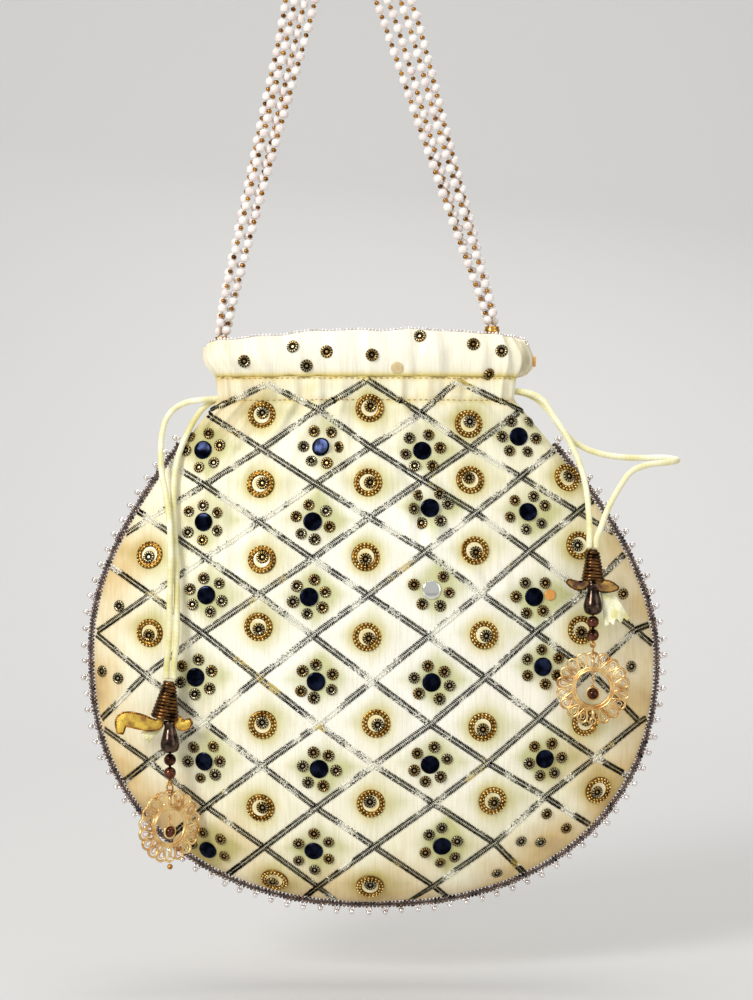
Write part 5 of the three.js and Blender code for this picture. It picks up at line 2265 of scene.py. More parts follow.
@dataclass
class Embroidery:
    """The lattice cords and the sewn motifs on the front panel."""

    cloth: bpy.types.Object
    stitches: Recipe
    motifs: Recipe
    copies: Recipe
    ring_radius: float = 4.45 * MM
    granules: int = 20
    cup_radius: float = 2.2 * MM
    mirror_radius: float = 3.7 * MM
    lift: float = 0.25 * MM

    def helper(self, name: str, shape: Shape, finish: Finish, size: float = MM) -> bpy.types.Object:
        """Makes a motif that is only used for its copies.

        Args:
            name: The motif's name.
            shape: Its shape.
            finish: Its finish.
            size: The radius that its own coordinates are measured in.

        Returns:
            The hidden motif.
        """
        piece = shape_object(name, *shape, finish)
        layer = piece.data.attributes.new("own", "FLOAT_VECTOR", "POINT")
        places = [value / size for vertex in piece.data.vertices for value in vertex.co]
        layer.data.foreach_set("vector", places)
        piece.hide_render = True
        return piece

    def granule_ring(self, radius: float, count: int, size: float) -> bpy.types.Object:
        """Makes one ring of granules for a large sequin.

        Args:
            radius: The ring's radius.
            count: The number of granules.
            size: A granule's radius.

        Returns:
            The hidden ring.
        """
        grain = moved(ball(size, 7, 4), Matrix.Translation((0, 0, 0.6 * MM)))
        ring = self.copies.make(
            f"granule_ring_{count}",
            bpy.data.meshes.new("ring_base"),
            KASAB,
            Count=count,
            Radius=radius,
            Motif=self.helper(f"granule_{count}", grain, KASAB),
            Step=9,
            Free=-1.0,
        )
        ring.hide_render = True
        return ring

    def base_ring(self) -> bpy.types.Object:
        """Makes the dark gold band under the granules."""
        outline = [(3.25, -0.2), (5.5, -0.2), (5.6, 0.1), (5.2, 0.42), (4.4, 0.52), (3.6, 0.42), (3.2, 0.1)]
        return self.helper("band", lathe([(r * MM, h * MM) for r, h in outline], 30), OLD_GOLD)

    def dish(self) -> bpy.types.Object:
        """Makes the cream dish inside a large sequin's ring."""
        outline = [(0, -0.2), (3.3, -0.2), (3.35, 0.2), (3.1, 0.34), (2.6, 0.2), (0, 0.1)]
        return self.helper("dish", lathe([(r * MM, h * MM) for r, h in outline], 28), DISH)

    def cup(self) -> bpy.types.Object:
        """Makes a small dark cup with a ticked rim."""
        radius = self.cup_radius
        outline = [
            (0, -0.2 * MM), (radius * 0.9, -0.2 * MM), (radius * 1.05, 0.2 * MM),
            (radius * 0.95, 0.62 * MM), (radius * 0.7, 0.7 * MM), (radius * 0.5, 0.3 * MM),
            (radius * 0.25, 0.22 * MM), (0, 0.42 * MM),
        ]  # fmt: skip
        return self.helper("cup", lathe(outline, 22), CUP, radius)

    def mirror(self, name: str, finish: Finish) -> bpy.types.Object:
        """Makes a round mirror with a bevelled edge."""
        radius = self.mirror_radius
        outline = [
            (0, -0.2 * MM), (radius * 0.96, -0.2 * MM), (radius, 0.15 * MM),
            (radius * 0.94, 0.42 * MM), (radius * 0.8, 0.5 * MM), (0, 0.5 * MM),
        ]  # fmt: skip
        return self.helper(name, lathe(outline, 28), finish)

    def sew(
        self,
        name: str,
        motif: bpy.types.Object,
        finish: Finish,
        places: Sequence[tuple[Vector, float, float]],
        lift: float,
        tilt: float = 0.05,
        surface: bpy.types.Object | None = None,
    ) -> bpy.types.Object:
        """Sews copies of a motif to the cloth.

        Args:
            name: The new piece's name.
            motif: What is copied.
            finish: Its finish.
            places: The place, size and turn of each copy.
            lift: How far the copies stand off the cloth.
            surface: The cloth, the front panel if it is left out.
            tilt: The most that a copy leans, in radians.

        Returns:
            The new piece.
        """
        base = bpy.data.meshes.new(f"{name}_places")
        base.from_pydata([tuple(place) for place, _, _ in places], [], [])
        for k, label in ((1, "size"), (2, "turn")):
            attribute = base.attributes.new(label, "FLOAT", "POINT")
            attribute.data.foreach_set("value", [row[k] for row in places])
        piece = self.motifs.make(
            name, base, finish, Surface=surface or self.cloth, Motif=motif, Lift=lift, Tilt=tilt
        )
        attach(piece, "bag")
        log.info("%s: %d copies", name, len(places))
        return piece

    def flower_places(self) -> list[tuple[Vector, float, float]]:
        """Gives the places of the small cups round the mirrors."""
        found = []
        for key, (px, py) in LATTICE.flowers.items():
            first = 1.1 * noise.noise((0.137 * px, 0.173 * py, 0.5))
            if key == DISC_FLOWER:
                first = -math.pi / 6
            for k in range(6):
                if MISSING_CUPS.get(key) == k:
                    continue
                stray = noise.noise_vector((0.137 * px + 1.37 * k, 0.173 * py, 4.5))
                angle = first + math.pi / 3 * k + math.pi / 6 + 0.32 * stray.x
                reach = FLOWER_REACH * (1 + 0.13 * stray.y)
                place = VIEW.on_front(px + reach * math.cos(angle), py - reach * math.sin(angle))
                found.append((place, 1.0 + 0.1 * stray.z, angle))
        return found

    def build(self, frill: bpy.types.Object) -> None:
        """Makes all of the embroidery.

        Args:
            frill: The front frill, which carries small sequins.
        """
        cords = self.stitches.make(
            "lattice_cords",
            line_mesh("lattice", LATTICE.cords()),
            ZARI,
            Surface=self.cloth,
            Spacing=0.74 * MM,
            Row_Gap=1.46 * MM,
            Bar=(0.6 * MM, 1.62 * MM, 0.66 * MM),
            Slant=0.42,
            Lift=0.22 * MM,
        )
        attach(cords, "bag")
        gold = [(VIEW.on_front(*pixel), 1.0, pixel[0] * 0.7) for pixel in LATTICE.gold.values()]
        self.sew("sequin_bands", self.base_ring(), OLD_GOLD, gold, self.lift)
        outer = self.granule_ring(self.ring_radius + 0.55 * MM, 21, 0.5 * MM)
        inner = self.granule_ring(self.ring_radius - 0.5 * MM, 17, 0.46 * MM)
        self.sew("sequin_granules", outer, KASAB, gold, self.lift)
        self.sew("sequin_grains", inner, KASAB, gold, self.lift)
        self.sew("sequin_dishes", self.dish(), DISH, gold, self.lift)
        shifted = []
        for place, _, turn in gold:
            aside = Vector((math.cos(turn), 0, math.sin(turn))) * 0.9 * MM
            shifted.append((place + aside, 1.08, turn))
        cup = self.cup()
        flower = self.flower_places()
        single = [(VIEW.on_front(*pixel), 1.0, pixel[0]) for pixel in SINGLE_SEQUINS]
        self.sew("sequin_cups", cup, CUP, shifted, self.lift + 0.25 * MM)
        self.sew("flower_cups", cup, CUP, flower + single, self.lift, tilt=0.12)
        # Mirrors with the painted dark reflection.
        navy = [
            (VIEW.on_front(*pixel), 1.0, 0.0)
            for key, pixel in LATTICE.flowers.items()
            if key != PALE_FLOWER
        ]
        pale = [(VIEW.on_front(*LATTICE.flowers[PALE_FLOWER]), 1.0, 0.0)]
        self.sew("mirrors", self.mirror("mirror", MIRROR), MIRROR, navy, self.lift, tilt=0.09)
        self.sew("pale_mirror", self.mirror("clear", PALE_MIRROR), PALE_MIRROR, pale, self.lift)
        collar = [(VIEW.on_frill(*pixel), 1.1, pixel[0]) for pixel in FRILL_SEQUINS]
        self.sew("frill_cups", cup, CUP, collar, 0.1 * MM, surface=frill, tilt=0.1)
        orange = [(VIEW.on_front(550, 595), 0.6, 0.0)]
        self.sew("orange_disc", self.mirror("amber", ORANGE_DISC), ORANGE_DISC, orange, 0.3 * MM)
        beige = [(VIEW.on_frill(397, 368), 0.66, 0.0)]
        self.sew("beige_disc", self.mirror("disc", BEIGE_DISC), BEIGE_DISC, beige, 0.0, surface=frill)


def millimetres(*rows: tuple[float, float, float]) -> list[Vector]:
    """Turns rows of millimetres into points in metres."""
    return [Vector(row) * MM for row in rows]


STRANDS = (
    millimetres(
        (-46.6, -1.4, -155.7), (-43.6, -1.4, -143), (-35.6, -1.3, -112), (-24, -1, -70),
        (-11.8, -0.9, -26), (-7, -0.9, -5.2), (-4.9, -0.9, -0.3), (0, -0.9, 1.8), (4.9, -0.9, -0.3),
        (7, -0.9, -5.2), (15.2, -0.9, -26), (30.3, -1, -70), (44.9, -1.3, -112),
        (55.4, -1.4, -141), (58.7, -1.4, -151.5),
    ),
    millimetres(
        (-46.6, 1.4, -155.7), (-44, 1.4, -143), (-36.7, 1.3, -112), (-26.5, 1, -70),
        (-16, 0.9, -26), (-11.6, 0.9, -5.2), (-8.2, 0.9, 3), (0, 0.9, 6.4), (8.2, 0.9, 3),
        (11.6, 0.9, -5.2), (20.2, 0.9, -26), (33.7, 1, -70), (46.6, 1.3, -112),
        (55.8, 1.4, -141), (58.7, 1.4, -151.5),
    ),
    millimetres(
        (-49.3, -1.4, -155.7), (-47.5, -1.4, -143), (-40.2, -1.3, -112), (-30, -1, -70),
        (-19.6, -0.9, -26), (-16.2, -0.9, -5.2), (-11.5, -0.9, 6.3), (0, -0.9, 11),
        (11.5, -0.9, 6.3), (16.2, -0.9, -5.2), (25, -0.9, -26), (37.7, -1, -70),
        (50.2, -1.3, -112), (58.9, -1.4, -141), (61.3, -1.4, -151.5),
    ),
    millimetres(
        (-49.3, 1.4, -155.7), (-47.9, 1.4, -143), (-41.4, 1.3, -112), (-32.4, 1, -70),
        (-23.2, 0.9, -26), (-20.8, 0.9, -5.2), (-14.7, 0.9, 9.5), (0, 0.9, 15.6),
        (14.7, 0.9, 9.5), (20.8, 0.9, -5.2), (29.2, 0.9, -26), (40.8, 1, -70),
        (52, 1.3, -112), (59.2, 1.4, -141), (61.3, 1.4, -151.5),
    ),
)  # fmt: skip


@dataclass
class Handle:
    """Four strings of pearls with a gold end at each side."""

    thread: float = 0.8 * MM
    pearl: float = 1.95 * MM
    seed: float = 1.05 * MM
    pitch: float = 6.0 * MM
    starts: tuple[float, ...] = (2.2 * MM, 5.2 * MM, 5.2 * MM, 2.2 * MM)
    end_radius: float = 3 * MM
    end_height: float = 4.8 * MM
    stem_radius: float = 1.2 * MM
    stem_height: float = 12 * MM

    def strand(self, number: int, beads: Recipe) -> None:
        """Makes one string with its pearls and seed beads.

        Args:
            number: The string's number, from 0.
            beads: The recipe for beads along a line.
        """
        line = evenly(through(STRANDS[number], 14), 1.0 * MM)
        length = length_of(line)
        start = self.starts[number]
        count = round((length - 2 * start) / self.pitch) + 1
        label = number + 1
        name = f"handle_thread_{label}"
        thread = sweep(name, line, lambda _: (self.thread / 2,) * 2, 8, THREAD)
        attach(thread, "bag")
        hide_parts(f"handle_strand_{label}")
        base = line_mesh("strand", [line])
        pearls = beads.make(
            f"handle_pearls_{label}",
            base,
            PEARL,
            Start=start,
            Count=count,
            Radius=self.pearl,
            Flatness=0.97,
            Divisions=2,
            Unevenness=0.03,
        )
        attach(pearls, "bag")
        half = (length - 2 * start) / (count - 1) / 2
        seeds = beads.make(
            f"handle_seeds_{label}",
            line_mesh("strand", [line]),
            COPPER_SEED,
            Start=start + half,
            Count=count - 1,
            Radius=self.seed,
            Flatness=0.85,
            Divisions=2,
            Unevenness=0.05,
        )
        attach(seeds, "bag")
        log.info("strand %d: %.1f mm, %d pearls", label, length / MM, count)

    def end(self, side: str, foot: Vector) -> None:
        """Makes the gold end under the strings' feet.

        Args:
            side: Left or right.
            foot: The middle of the strings' feet.
        """
        r, low = self.end_radius, -self.end_height
        outline = [
            (0, low - self.stem_height), (self.stem_radius, low - self.stem_height),
            (self.stem_radius, low - 0.2 * MM), (r * 0.62, low), (r * 0.82, low * 0.88),
            (r * 0.96, low * 0.74), (r * 0.84, low * 0.66), (r, low * 0.5), (r, low * 0.24),
            (r * 0.9, low * 0.16), (r * 0.99, low * 0.09), (r * 0.86, 0), (0, 0),
        ]  # fmt: skip
        shape = lathe(outline, 28, ribs=14, rib=0.012)
        here = Matrix.Translation(foot - Vector((0, 0, SHAPE.gap)))
        piece = shape_object(f"{side}_gold_end", *moved(shape, here), GOLD)
        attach(piece, "bag")
        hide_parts(f"{side}_handle_end")

    def build(self, beads: Recipe) -> None:
        """Makes the whole handle."""
        for number in range(len(STRANDS)):
            self.strand(number, beads)
        for side, at in (("left", 0), ("right", -1)):
            first, last = STRANDS[0][at], STRANDS[3][at]
            self.end(side, Vector(((first.x + last.x) / 2, 0, first.z)))


@dataclass(frozen=True)
class LeafCut:
    """The middle line of a cloth leaf from the cone's foot, and its widths."""

    line: tuple[tuple[float, float, float], ...]
    widths: tuple[float, float, float]
    thickness: float = 0.8 * MM

    def grids(self, top: Vector, columns: int, rows: int, ragged: float, ripple: float) -> tuple[Grid, Grid]:
        """Gives the two faces of the leaf.

        Args:
            top: The top of its tassel.
            columns: The number of steps across.
            rows: The number of steps along.
            ragged: How uneven the tip is.
            ripple: The height of its waves.

        Returns:
            The face to the front and the face behind.
        """
        line = evenly(through([top + point for point in millimetres(*self.line)], 16), 0.35 * MM)
        faces: tuple[Grid, Grid] = ([], [])
        root, middle, tip = (width * MM for width in self.widths)
        belly = middle - (root + tip) / 2
        for r in range(rows + 1):
            down = r / rows
            row: tuple[list[Vector], list[Vector]] = ([], [])
            for c in range(columns + 1):
                across = 2 * c / columns - 1
                frayed = noise.noise((across * 5, root * 900, 2.0)) + 0.5 * math.cos(across * 11)
                place = down * (1 - ragged * (0.5 + 0.5 * frayed) * down)
                at = place * (len(line) - 1)
                low = min(int(at), len(line) - 2)
                here = line[low].lerp(line[low + 1], at - low)
                along = (line[low + 1] - line[low]).normalized()
                broad = Vector((0, -1, 0)).cross(along).normalized()
                width = lerp(root, tip, down) + 4 * belly * down * (1 - down)
                cup = 0.12 * width * (1 - across * across)
                wave = ripple * math.sin(9 * down + 2.2 * across) * down
                for side, face in ((1, row[0]), (-1, row[1])):
                    depth = side * self.thickness * 0.35 + cup + wave
                    face.append(here + broad * (across * width / 2) - Vector((0, depth, 0)))
            faces[0].append(row[0])
            faces[1].append(row[1])
        return faces

    def border(self, top: Vector) -> list[Vector]:
        """Gives the line of the leaf's braided edge."""
        front, back = self.grids(top, 6, 26, 0.0, 0.25 * MM)
        middle = [[a.lerp(b, 0.5) for a, b in zip(*rows)] for rows in zip(front, back)]
        left = [row[0] for row in middle]
        right = [row[-1] for row in reversed(middle)]
        return evenly([*left, *middle[-1][1:-1], *right], 0.3 * MM)


@dataclass(frozen=True)
class TasselPlan:
    """The sizes and places that set one tassel apart from the other."""

    side: str
    drop: tuple[float, float, float]
    cone_height: float
    cone_radius: float
    lean: float
    turn: float
    slit: Vector
    front: tuple[tuple[float, float, float], ...]
    back: tuple[tuple[float, float, float], ...]
    leaves: dict[str, LeafCut]

    @property
    def inward(self) -> int:
        """Gives the sign of the direction to the bag's middle."""
        return 1 if self.side == "left" else -1

    def from_slit(self, across: float, before: float, up: float) -> Vector:
        """Gives a place that is measured from the slit and the panel's face."""
        x, z = self.slit.x + across * MM, self.slit.z + up * MM
        return Vector((x, -SHAPE.face_depth(x, z) - before * MM, z))

    def top(self, tassel: "Tassel") -> Vector:
        """Gives the top of the cone, clear of the panel."""
        place = self.from_slit(*self.drop)
        reach = tassel.pendant * math.cos(math.radians(self.turn))
        foot = place.z - self.cone_height
        below = tassel.bell_length + 4 * tassel.bead + 4 * tassel.link
        depths = (
            SHAPE.face_depth(place.x, place.z),
            SHAPE.face_depth(place.x, foot),
            SHAPE.face_depth(place.x + self.inward * reach, foot - below - tassel.pendant),
        )
        return Vector((place.x, -max(depths) - self.drop[1] * MM, place.z))


LEFT_TASSEL = TasselPlan(
    side="left",
    drop=(-16.2, 7.5, -111.4),
    cone_height=15 * MM,
    cone_radius=5.8 * MM,
    lean=8,
    turn=40,
    slit=Vector((SHAPE.neck_x - SHAPE.neck_width / 2, 0, SHAPE.waist_z + 1.8 * MM)),
    front=(
        (0.8, 1.5, -0.5), (-5.9, 1.7, -1.1), (-11.4, 1.9, -2), (-16.2, 2.4, -4.5),
        (-19.3, 3.2, -8.3), (-20.9, 4.4, -13.5), (-21.4, 6.2, -21.1), (-20.8, 8, -29.9),
        (-18.9, 6.3, -38.4), (-17.4, 6.4, -46.9), (-16.5, 7, -55.5), (-16.2, 7.6, -63.7),
        (-16.3, 7.9, -80.7), (-16.5, 7.9, -95.5),
    ),
    back=(
        (0.6, -1.5, -0.6), (-4.4, -1.2, -3.5), (-7.6, 0, -7.4), (-11.4, 3.8, -15.1),
        (-14.2, 3, -22.7), (-15.6, 3.3, -29.9), (-16.1, 2.9, -38.4), (-15.7, 2.8, -46.9),
        (-15, 3.2, -55.6), (-14.3, 4, -63.8), (-13.8, 5.4, -80.9), (-13.7, 6.8, -95.5),
    ),
    leaves={
        "leaf_outer": LeafCut(
            (
                (-3.4, -1.0, -14.2), (-4.4, -1.7, -16.6), (-7, -2.2, -16.9), (-12, -2.8, -15.4),
                (-18, -3, -14.8), (-19, -3, -20),
            ),
            (1.6, 5.5, 2),
        ),
        "leaf_inner": LeafCut(
            ((3.4, -1.0, -14.2), (4.2, -1.6, -16.8), (5.8, -1.8, -17), (8.4, -2.2, -15.4)),
            (1.6, 3.6, 1.6),
        ),
        "ribbon": LeafCut(
            ((-3.2, 0.8, -14.4), (-4.2, 0.8, -17.6), (-7, 0.7, -19.8), (-10.4, 0.5, -22.8)),
            (1.4, 3.8, 5.2),
        ),
    },
)  # fmt: skip
RIGHT_TASSEL = TasselPlan(
    side="right",
    drop=(28.4, 5.8, -63.3),
    cone_height=12.6 * MM,
    cone_radius=4.7 * MM,
    lean=0,
    turn=-8,
    slit=Vector((SHAPE.neck_x + SHAPE.neck_width / 2, 0, SHAPE.waist_z + 5 * MM)),
    front=(
        (0.2, 1.5, -0.7), (6.7, 1.8, -2.1), (11, 2.3, -4.9), (14.7, 3.4, -10.7),
        (19.7, 5.6, -18.8), (23.8, 8, -27.6), (26.3, 10.8, -36.7), (27.4, 11.2, -48.1),
        (27.2, 13.4, -56.7),
    ),
    back=(
        (0.2, -1.5, -0.8), (6.9, -1.8, -2.9), (11.7, -1.6, -6.9), (16.5, -0.8, -13.4),
        (21, 0.2, -19), (26, 1.4, -22.8), (32.5, 2.6, -25.5), (41.1, 4, -27.1),
        (49.9, 5.2, -27.5), (58.6, 5.8, -27.4), (62, 7.4, -27.9), (62.9, 11, -28.5),
        (60.9, 14.6, -29.1), (57.1, 16.2, -29.6), (50.1, 17.2, -30.5), (43.7, 18, -33.3),
        (38.5, 18.8, -40.3), (34.3, 19.8, -48.1), (31.2, 16.6, -55.9),
    ),
    leaves={
        "leaf_outer": LeafCut(
            ((-2.4, -1.0, -11.6), (-3.4, -1.6, -13.6), (-5.8, -2.2, -14.2), (-10.2, -2.8, -12.4)),
            (1.6, 3.0, 1.2),
        ),
        "leaf_inner": LeafCut(
            ((1.6, -1.0, -11.6), (2.6, -1.7, -13.9), (5.8, -2.2, -14.5), (9.4, -2.6, -15.0)),
            (1.6, 4.4, 0.8),
        ),
        "ribbon": LeafCut(
            ((2.7, 1.2, -11.6), (3.9, 1.6, -14.6), (7.2, 1.5, -21.4), (9.9, 1.2, -29.4)),
            (1.6, 6.0, 10.5),
        ),
    },
)  # fmt: skip


@dataclass
class Drawstring:
    """A satin cord from its cone, through half of the casing and back."""

    plan: TasselPlan
    tassel: "Tassel"
    diameter: float = 2.4 * MM
    spacing: float = 0.4 * MM
    last_drop: float = 3.5 * MM
    tunnel: float = 3.1 * MM

    def casing_loop(self) -> list[Vector]:
        """Gives the run through the casing: along the front, round the end and back."""
        side = self.plan.inward
        straight = SHAPE.neck_width / 2 - SHAPE.end_radius
        radius = SHAPE.end_radius - SHAPE.cloth_wall - self.tunnel / 2
        half = [
            (share * straight, radius + SHAPE.bow * (1 - share * share) ** 2)
            for share in (-0.8, -0.55, -0.25, 0, 0.25, 0.55, 0.8, 1)
        ]
        for turn in (30, 60, 90):
            angle = math.radians(turn)
            half.append((straight + radius * math.sin(angle), radius * math.cos(angle)))
        z = self.plan.slit.z
        front = [Vector((SHAPE.neck_x + side * x, -depth, z)) for x, depth in half]
        back = [Vector((SHAPE.neck_x + side * x, depth, z)) for x, depth in half[:-1]]
        return front + back[::-1]

    def line(self) -> list[Vector]:
        """Gives the cord's whole route."""
        plan = self.plan
        top = plan.top(self.tassel)
        foot = top.z + SHAPE.gap + self.tassel.cone_top * math.sin(math.radians(plan.lean))
        apart = (self.diameter + self.spacing) / 2

        def ends(offset: float) -> list[Vector]:
            """Gives the last stretch down to the cone."""
            return [Vector((top.x + offset, top.y, foot + up)) for up in (self.last_drop, 0.0)]

        start = [plan.from_slit(*point) for point in plan.front] + ends(-apart)
        back = [plan.from_slit(*point) for point in plan.back] + ends(apart)
        return evenly(through([*reversed(start), *self.casing_loop(), *back], 12), 0.9 * MM)

    def build(self) -> None:
        """Makes the cord."""
        line = self.line()
        side = self.plan.side
        piece = sweep(
            f"{side}_satin_cord", line, lambda _: (self.diameter / 2,) * 2, 16, SATIN
        )
        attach(piece, "bag")
        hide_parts(f"{side}_drawstring")
        log.info("%s cord: %.1f mm", side, length_of(line) / MM)


@dataclass
class Tassel:
    """The metal and cloth parts that hang from the end of a drawstring."""

    cone_top: float = 2.6 * MM
    cone_wall: float = 0.8 * MM
    bell_length: float = 12.6 * MM
    bell_top: float = 2.4 * MM
    bell_radius: float = 3.7 * MM
    bead: float = 2.4 * MM
    bore: float = 0.8 * MM
    pin: float = 0.5 * MM
    eye: float = 0.9 * MM
    link: float = 2 * MM
    wire: float = 0.3 * MM
    pendant: float = 14.4 * MM
    petals: int = 18
    window: float = 6.7 * MM
    hole_drop: float = 1.6 * MM
    ball: float = 2.1 * MM
    cup: float = 2.45 * MM
    ball_drop: float = 2.2 * MM
    drop: float = 1.1 * MM

    def add(
        self, plan: TasselPlan, name: str, node: str, shape: Shape, place: Matrix, finish: Finish
    ) -> bpy.types.Object:
        """Makes a metal piece of a tassel.

        Args:
            plan: The tassel's plan.
            name: The piece's name, without the side.
            node: The node that it stands for and rides with.
            shape: Its shape about its own middle.
            place: Where it goes in the frame.
            finish: Its finish.

        Returns:
            The new piece.
        """
        piece = shape_object(f"{plan.side}_{name}", *moved(shape, place), finish)
        body = {"cone": "bag", "pin": "bag", "drop_bead": f"{plan.side}_pendant"}
        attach(piece, body.get(node, f"{plan.side}_{node}"))
        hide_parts(f"{plan.side}_{node}")
        return piece

    def bell_shape(self) -> Shape:
        """Gives the pear-shaped bell, open along its bore, from 0 down."""
        n, w, r = self.bell_top, self.bell_radius, self.bore
        corners = [
            (r * 1.6, -1.0), (w * 0.55, -0.985), (w * 0.84, -0.92), (w, -0.77), (w * 0.93, -0.6),
            (n * 1.12, -0.38), (n * 0.9, -0.2), (n * 1.02, -0.08), (n * 0.9, 0.0),
        ]  # fmt: skip
        outline = smooth_outline([(a, b * self.bell_length) for a, b in corners], 5)
        outline = [(max(a, r), max(-self.bell_length, min(0.0, b))) for a, b in outline]
        bore = [(r, 0.0), (r, -self.bell_length)]
        return lathe([*outline, *bore], 32)

    def bead_shape(self) -> Shape:
        """Gives a bead with a bore and fine turned lines."""
        start = math.asin(self.bore / self.bead)
        outline = []
        for i in range(17):
            angle = math.pi - start - (math.pi - 2 * start) * i / 16
            groove = 1 - 0.035 * (1 if i in (5, 8, 11) else 0)
            outline.append((self.bead * groove * math.sin(angle), self.bead * math.cos(angle)))
        return lathe([*outline, (self.bore * 0.98, 0.0)], 26)

    def cone_pieces(self, plan: TasselPlan, top: Vector, coils: Recipe) -> bpy.types.Object:
        """Makes the ribbed cone from a core and a wound wire.

        Args:
            plan: The tassel's plan.
            top: The top of the cone.
            coils: The recipe for a wound wire.

        Returns:
            The wound wire.
        """
        place = Matrix.Translation(top) @ Matrix.Rotation(math.radians(plan.lean), 4, "Y")
        wire = 0.66 * MM
        high, wide = plan.cone_height, plan.cone_radius
        outline = [
            (wide - 1.5 * MM, -high + 0.3 * MM), (wide - 0.9 * MM, -high + 0.3 * MM),
            (self.cone_top - 0.8 * MM, -0.5 * MM), (self.cone_top - 1.2 * MM, -0.15 * MM),
            (0, -0.15 * MM), (0, -self.cone_wall),
            (self.cone_top - self.cone_wall - 0.7 * MM, -self.cone_wall),
        ]  # fmt: skip
        core = self.add(plan, "cone_core", "cone", lathe(outline, 28), place, BRONZE)
        log.info("%s: %s", core.name, tuple(round(value / MM, 1) for value in top))
        wound = coils.make(
            f"{plan.side}_wound_cone",
            bpy.data.meshes.new("coil_base"),
            BRONZE,
            Turns=high / (1.42 * MM),
            Top_Radius=self.cone_top - wire,
            Foot_Radius=wide - wire,
            Height=high - 2 * wire,
            Wire=wire,
        )
        wound.data.transform(place @ Matrix.Translation((0, 0, -wire)))
        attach(wound, "bag")
        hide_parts(f"{plan.side}_cone")
        return wound

    def filigree(self, copies: Recipe, plan: TasselPlan, place: Matrix) -> None:
        """Makes the pendant: two rims, wire petals, a scalloped rim and two bars.

        Args:
            copies: The recipe for copies round a ring.
            plan: The tassel's plan.
            place: The pendant's place in the frame.
        """
        upright = Matrix.Rotation(math.pi / 2, 4, "X")
        petal: list[Shape] = []
        for low, high, widest, wire in ((8.4, 14.0, 1.86, 0.46), (9.7, 12.7, 0.85, 0.2)):
            side = []
            for share in (0.0, 0.2, 0.4, 0.58, 0.7, 0.78, 0.86, 0.92, 0.97, 0.992, 1.0):
                wide = 0.16 + 0.84 * math.sin(math.pi / 2 * min(1.0, share / 0.7)) ** 1.3
                if share > 0.7:
                    wide = math.sqrt(max(0.0, 1 - ((share - 0.7) / 0.3) ** 2))
                side.append(Vector((lerp(low, high, share), 0, widest * wide)) * MM)
            other = [Vector((p.x, 0, -p.z)) for p in reversed(side[:-1])]
            petal.append(wire_loop([*side, *other], wire * MM, 7, closed=True))
        flat = Matrix.Rotation(-math.pi / 2, 4, "X")
        motif = shape_object("petal", *moved(joined(*petal), flat), PALE_GOLD)
        motif.data.transform(Matrix.Translation((-10 * MM, 0, 0)))
        motif.hide_render = True
        petals = copies.make(
            f"{plan.side}_petals",
            bpy.data.meshes.new("petal_base"),
            PALE_GOLD,
            Count=self.petals,
            Radius=10 * MM,
            Motif=motif,
            Step=self.petals // 2,
            Free=0.5,
        )
        turn = Matrix.Rotation(math.pi / 2, 4, "Z")
        petals.data.transform(place @ upright @ turn)
        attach(petals, f"{plan.side}_pendant")
        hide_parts(f"{plan.side}_pendant")
        scallop = []
        for k in range(self.petals * 8):
            angle = 2 * math.pi * k / (self.petals * 8)
            out = 12.9 * MM + 1.0 * MM * abs(math.sin(self.petals / 2 * angle)) ** 0.8
            scallop.append(Vector((out * math.cos(angle), 0, out * math.sin(angle))))
        band = [(6.9, -0.3), (8.1, -0.3), (8.1, 0.3), (6.9, 0.3)]
        flat_ring = moved(lathe([(r * MM, h * MM) for r, h in band], 48), upright)
        bars = []
        for sign in (1, -1):
            low, high = 8.1 * MM, self.pendant - 2.3 * MM
            bar = moved(
                lathe([(0, low), (0.75 * MM, low), (0.6 * MM, high), (0, high)], 12),
                Matrix.Rotation(0 if sign > 0 else math.pi, 4, "Y"),
            )
            bars.append(bar)
            ring = torus(1.15 * MM, 0.35 * MM, 18, 8)
            middle = sign * (self.pendant - self.hole_drop)
            bars.append(moved(ring, Matrix.Translation((0, 0, middle))))
        rims = joined(
            torus(6.95 * MM, 0.5 * MM, 56, 10, 1.3),
            torus(8.15 * MM, 0.46 * MM, 60, 10, 1.3),
            flat_ring,
            moved(
                wire_loop(scallop, 0.4 * MM, 7, closed=True),
                Matrix.Translation((0, 0.5 * MM, 0)),
            ),
            *bars,
        )
        self.add(plan, "rims", "pendant", rims, place, PALE_GOLD)

    def charm(self) -> Shape:
        """Gives the cup ring and the short chain that carry the ball."""
        middle = Matrix.Translation((0, 0, -self.ball_drop))
        shapes = [moved(torus(self.cup, 0.42 * MM, 34, 8), middle)]
        top = self.window - 0.45 * MM
        count = 7
        low = -self.ball_drop + self.cup
        for k in range(count):
            up = lerp(low + 0.3 * MM, top - 0.45 * MM, k / (count - 1))
            turn = Matrix.Rotation(math.pi / 2 * (k % 2), 4, "Z")
            shapes.append(
                moved(torus(0.52 * MM, 0.2 * MM, 14, 6), Matrix.Translation((0, 0, up)) @ turn)
            )
        return joined(*shapes)

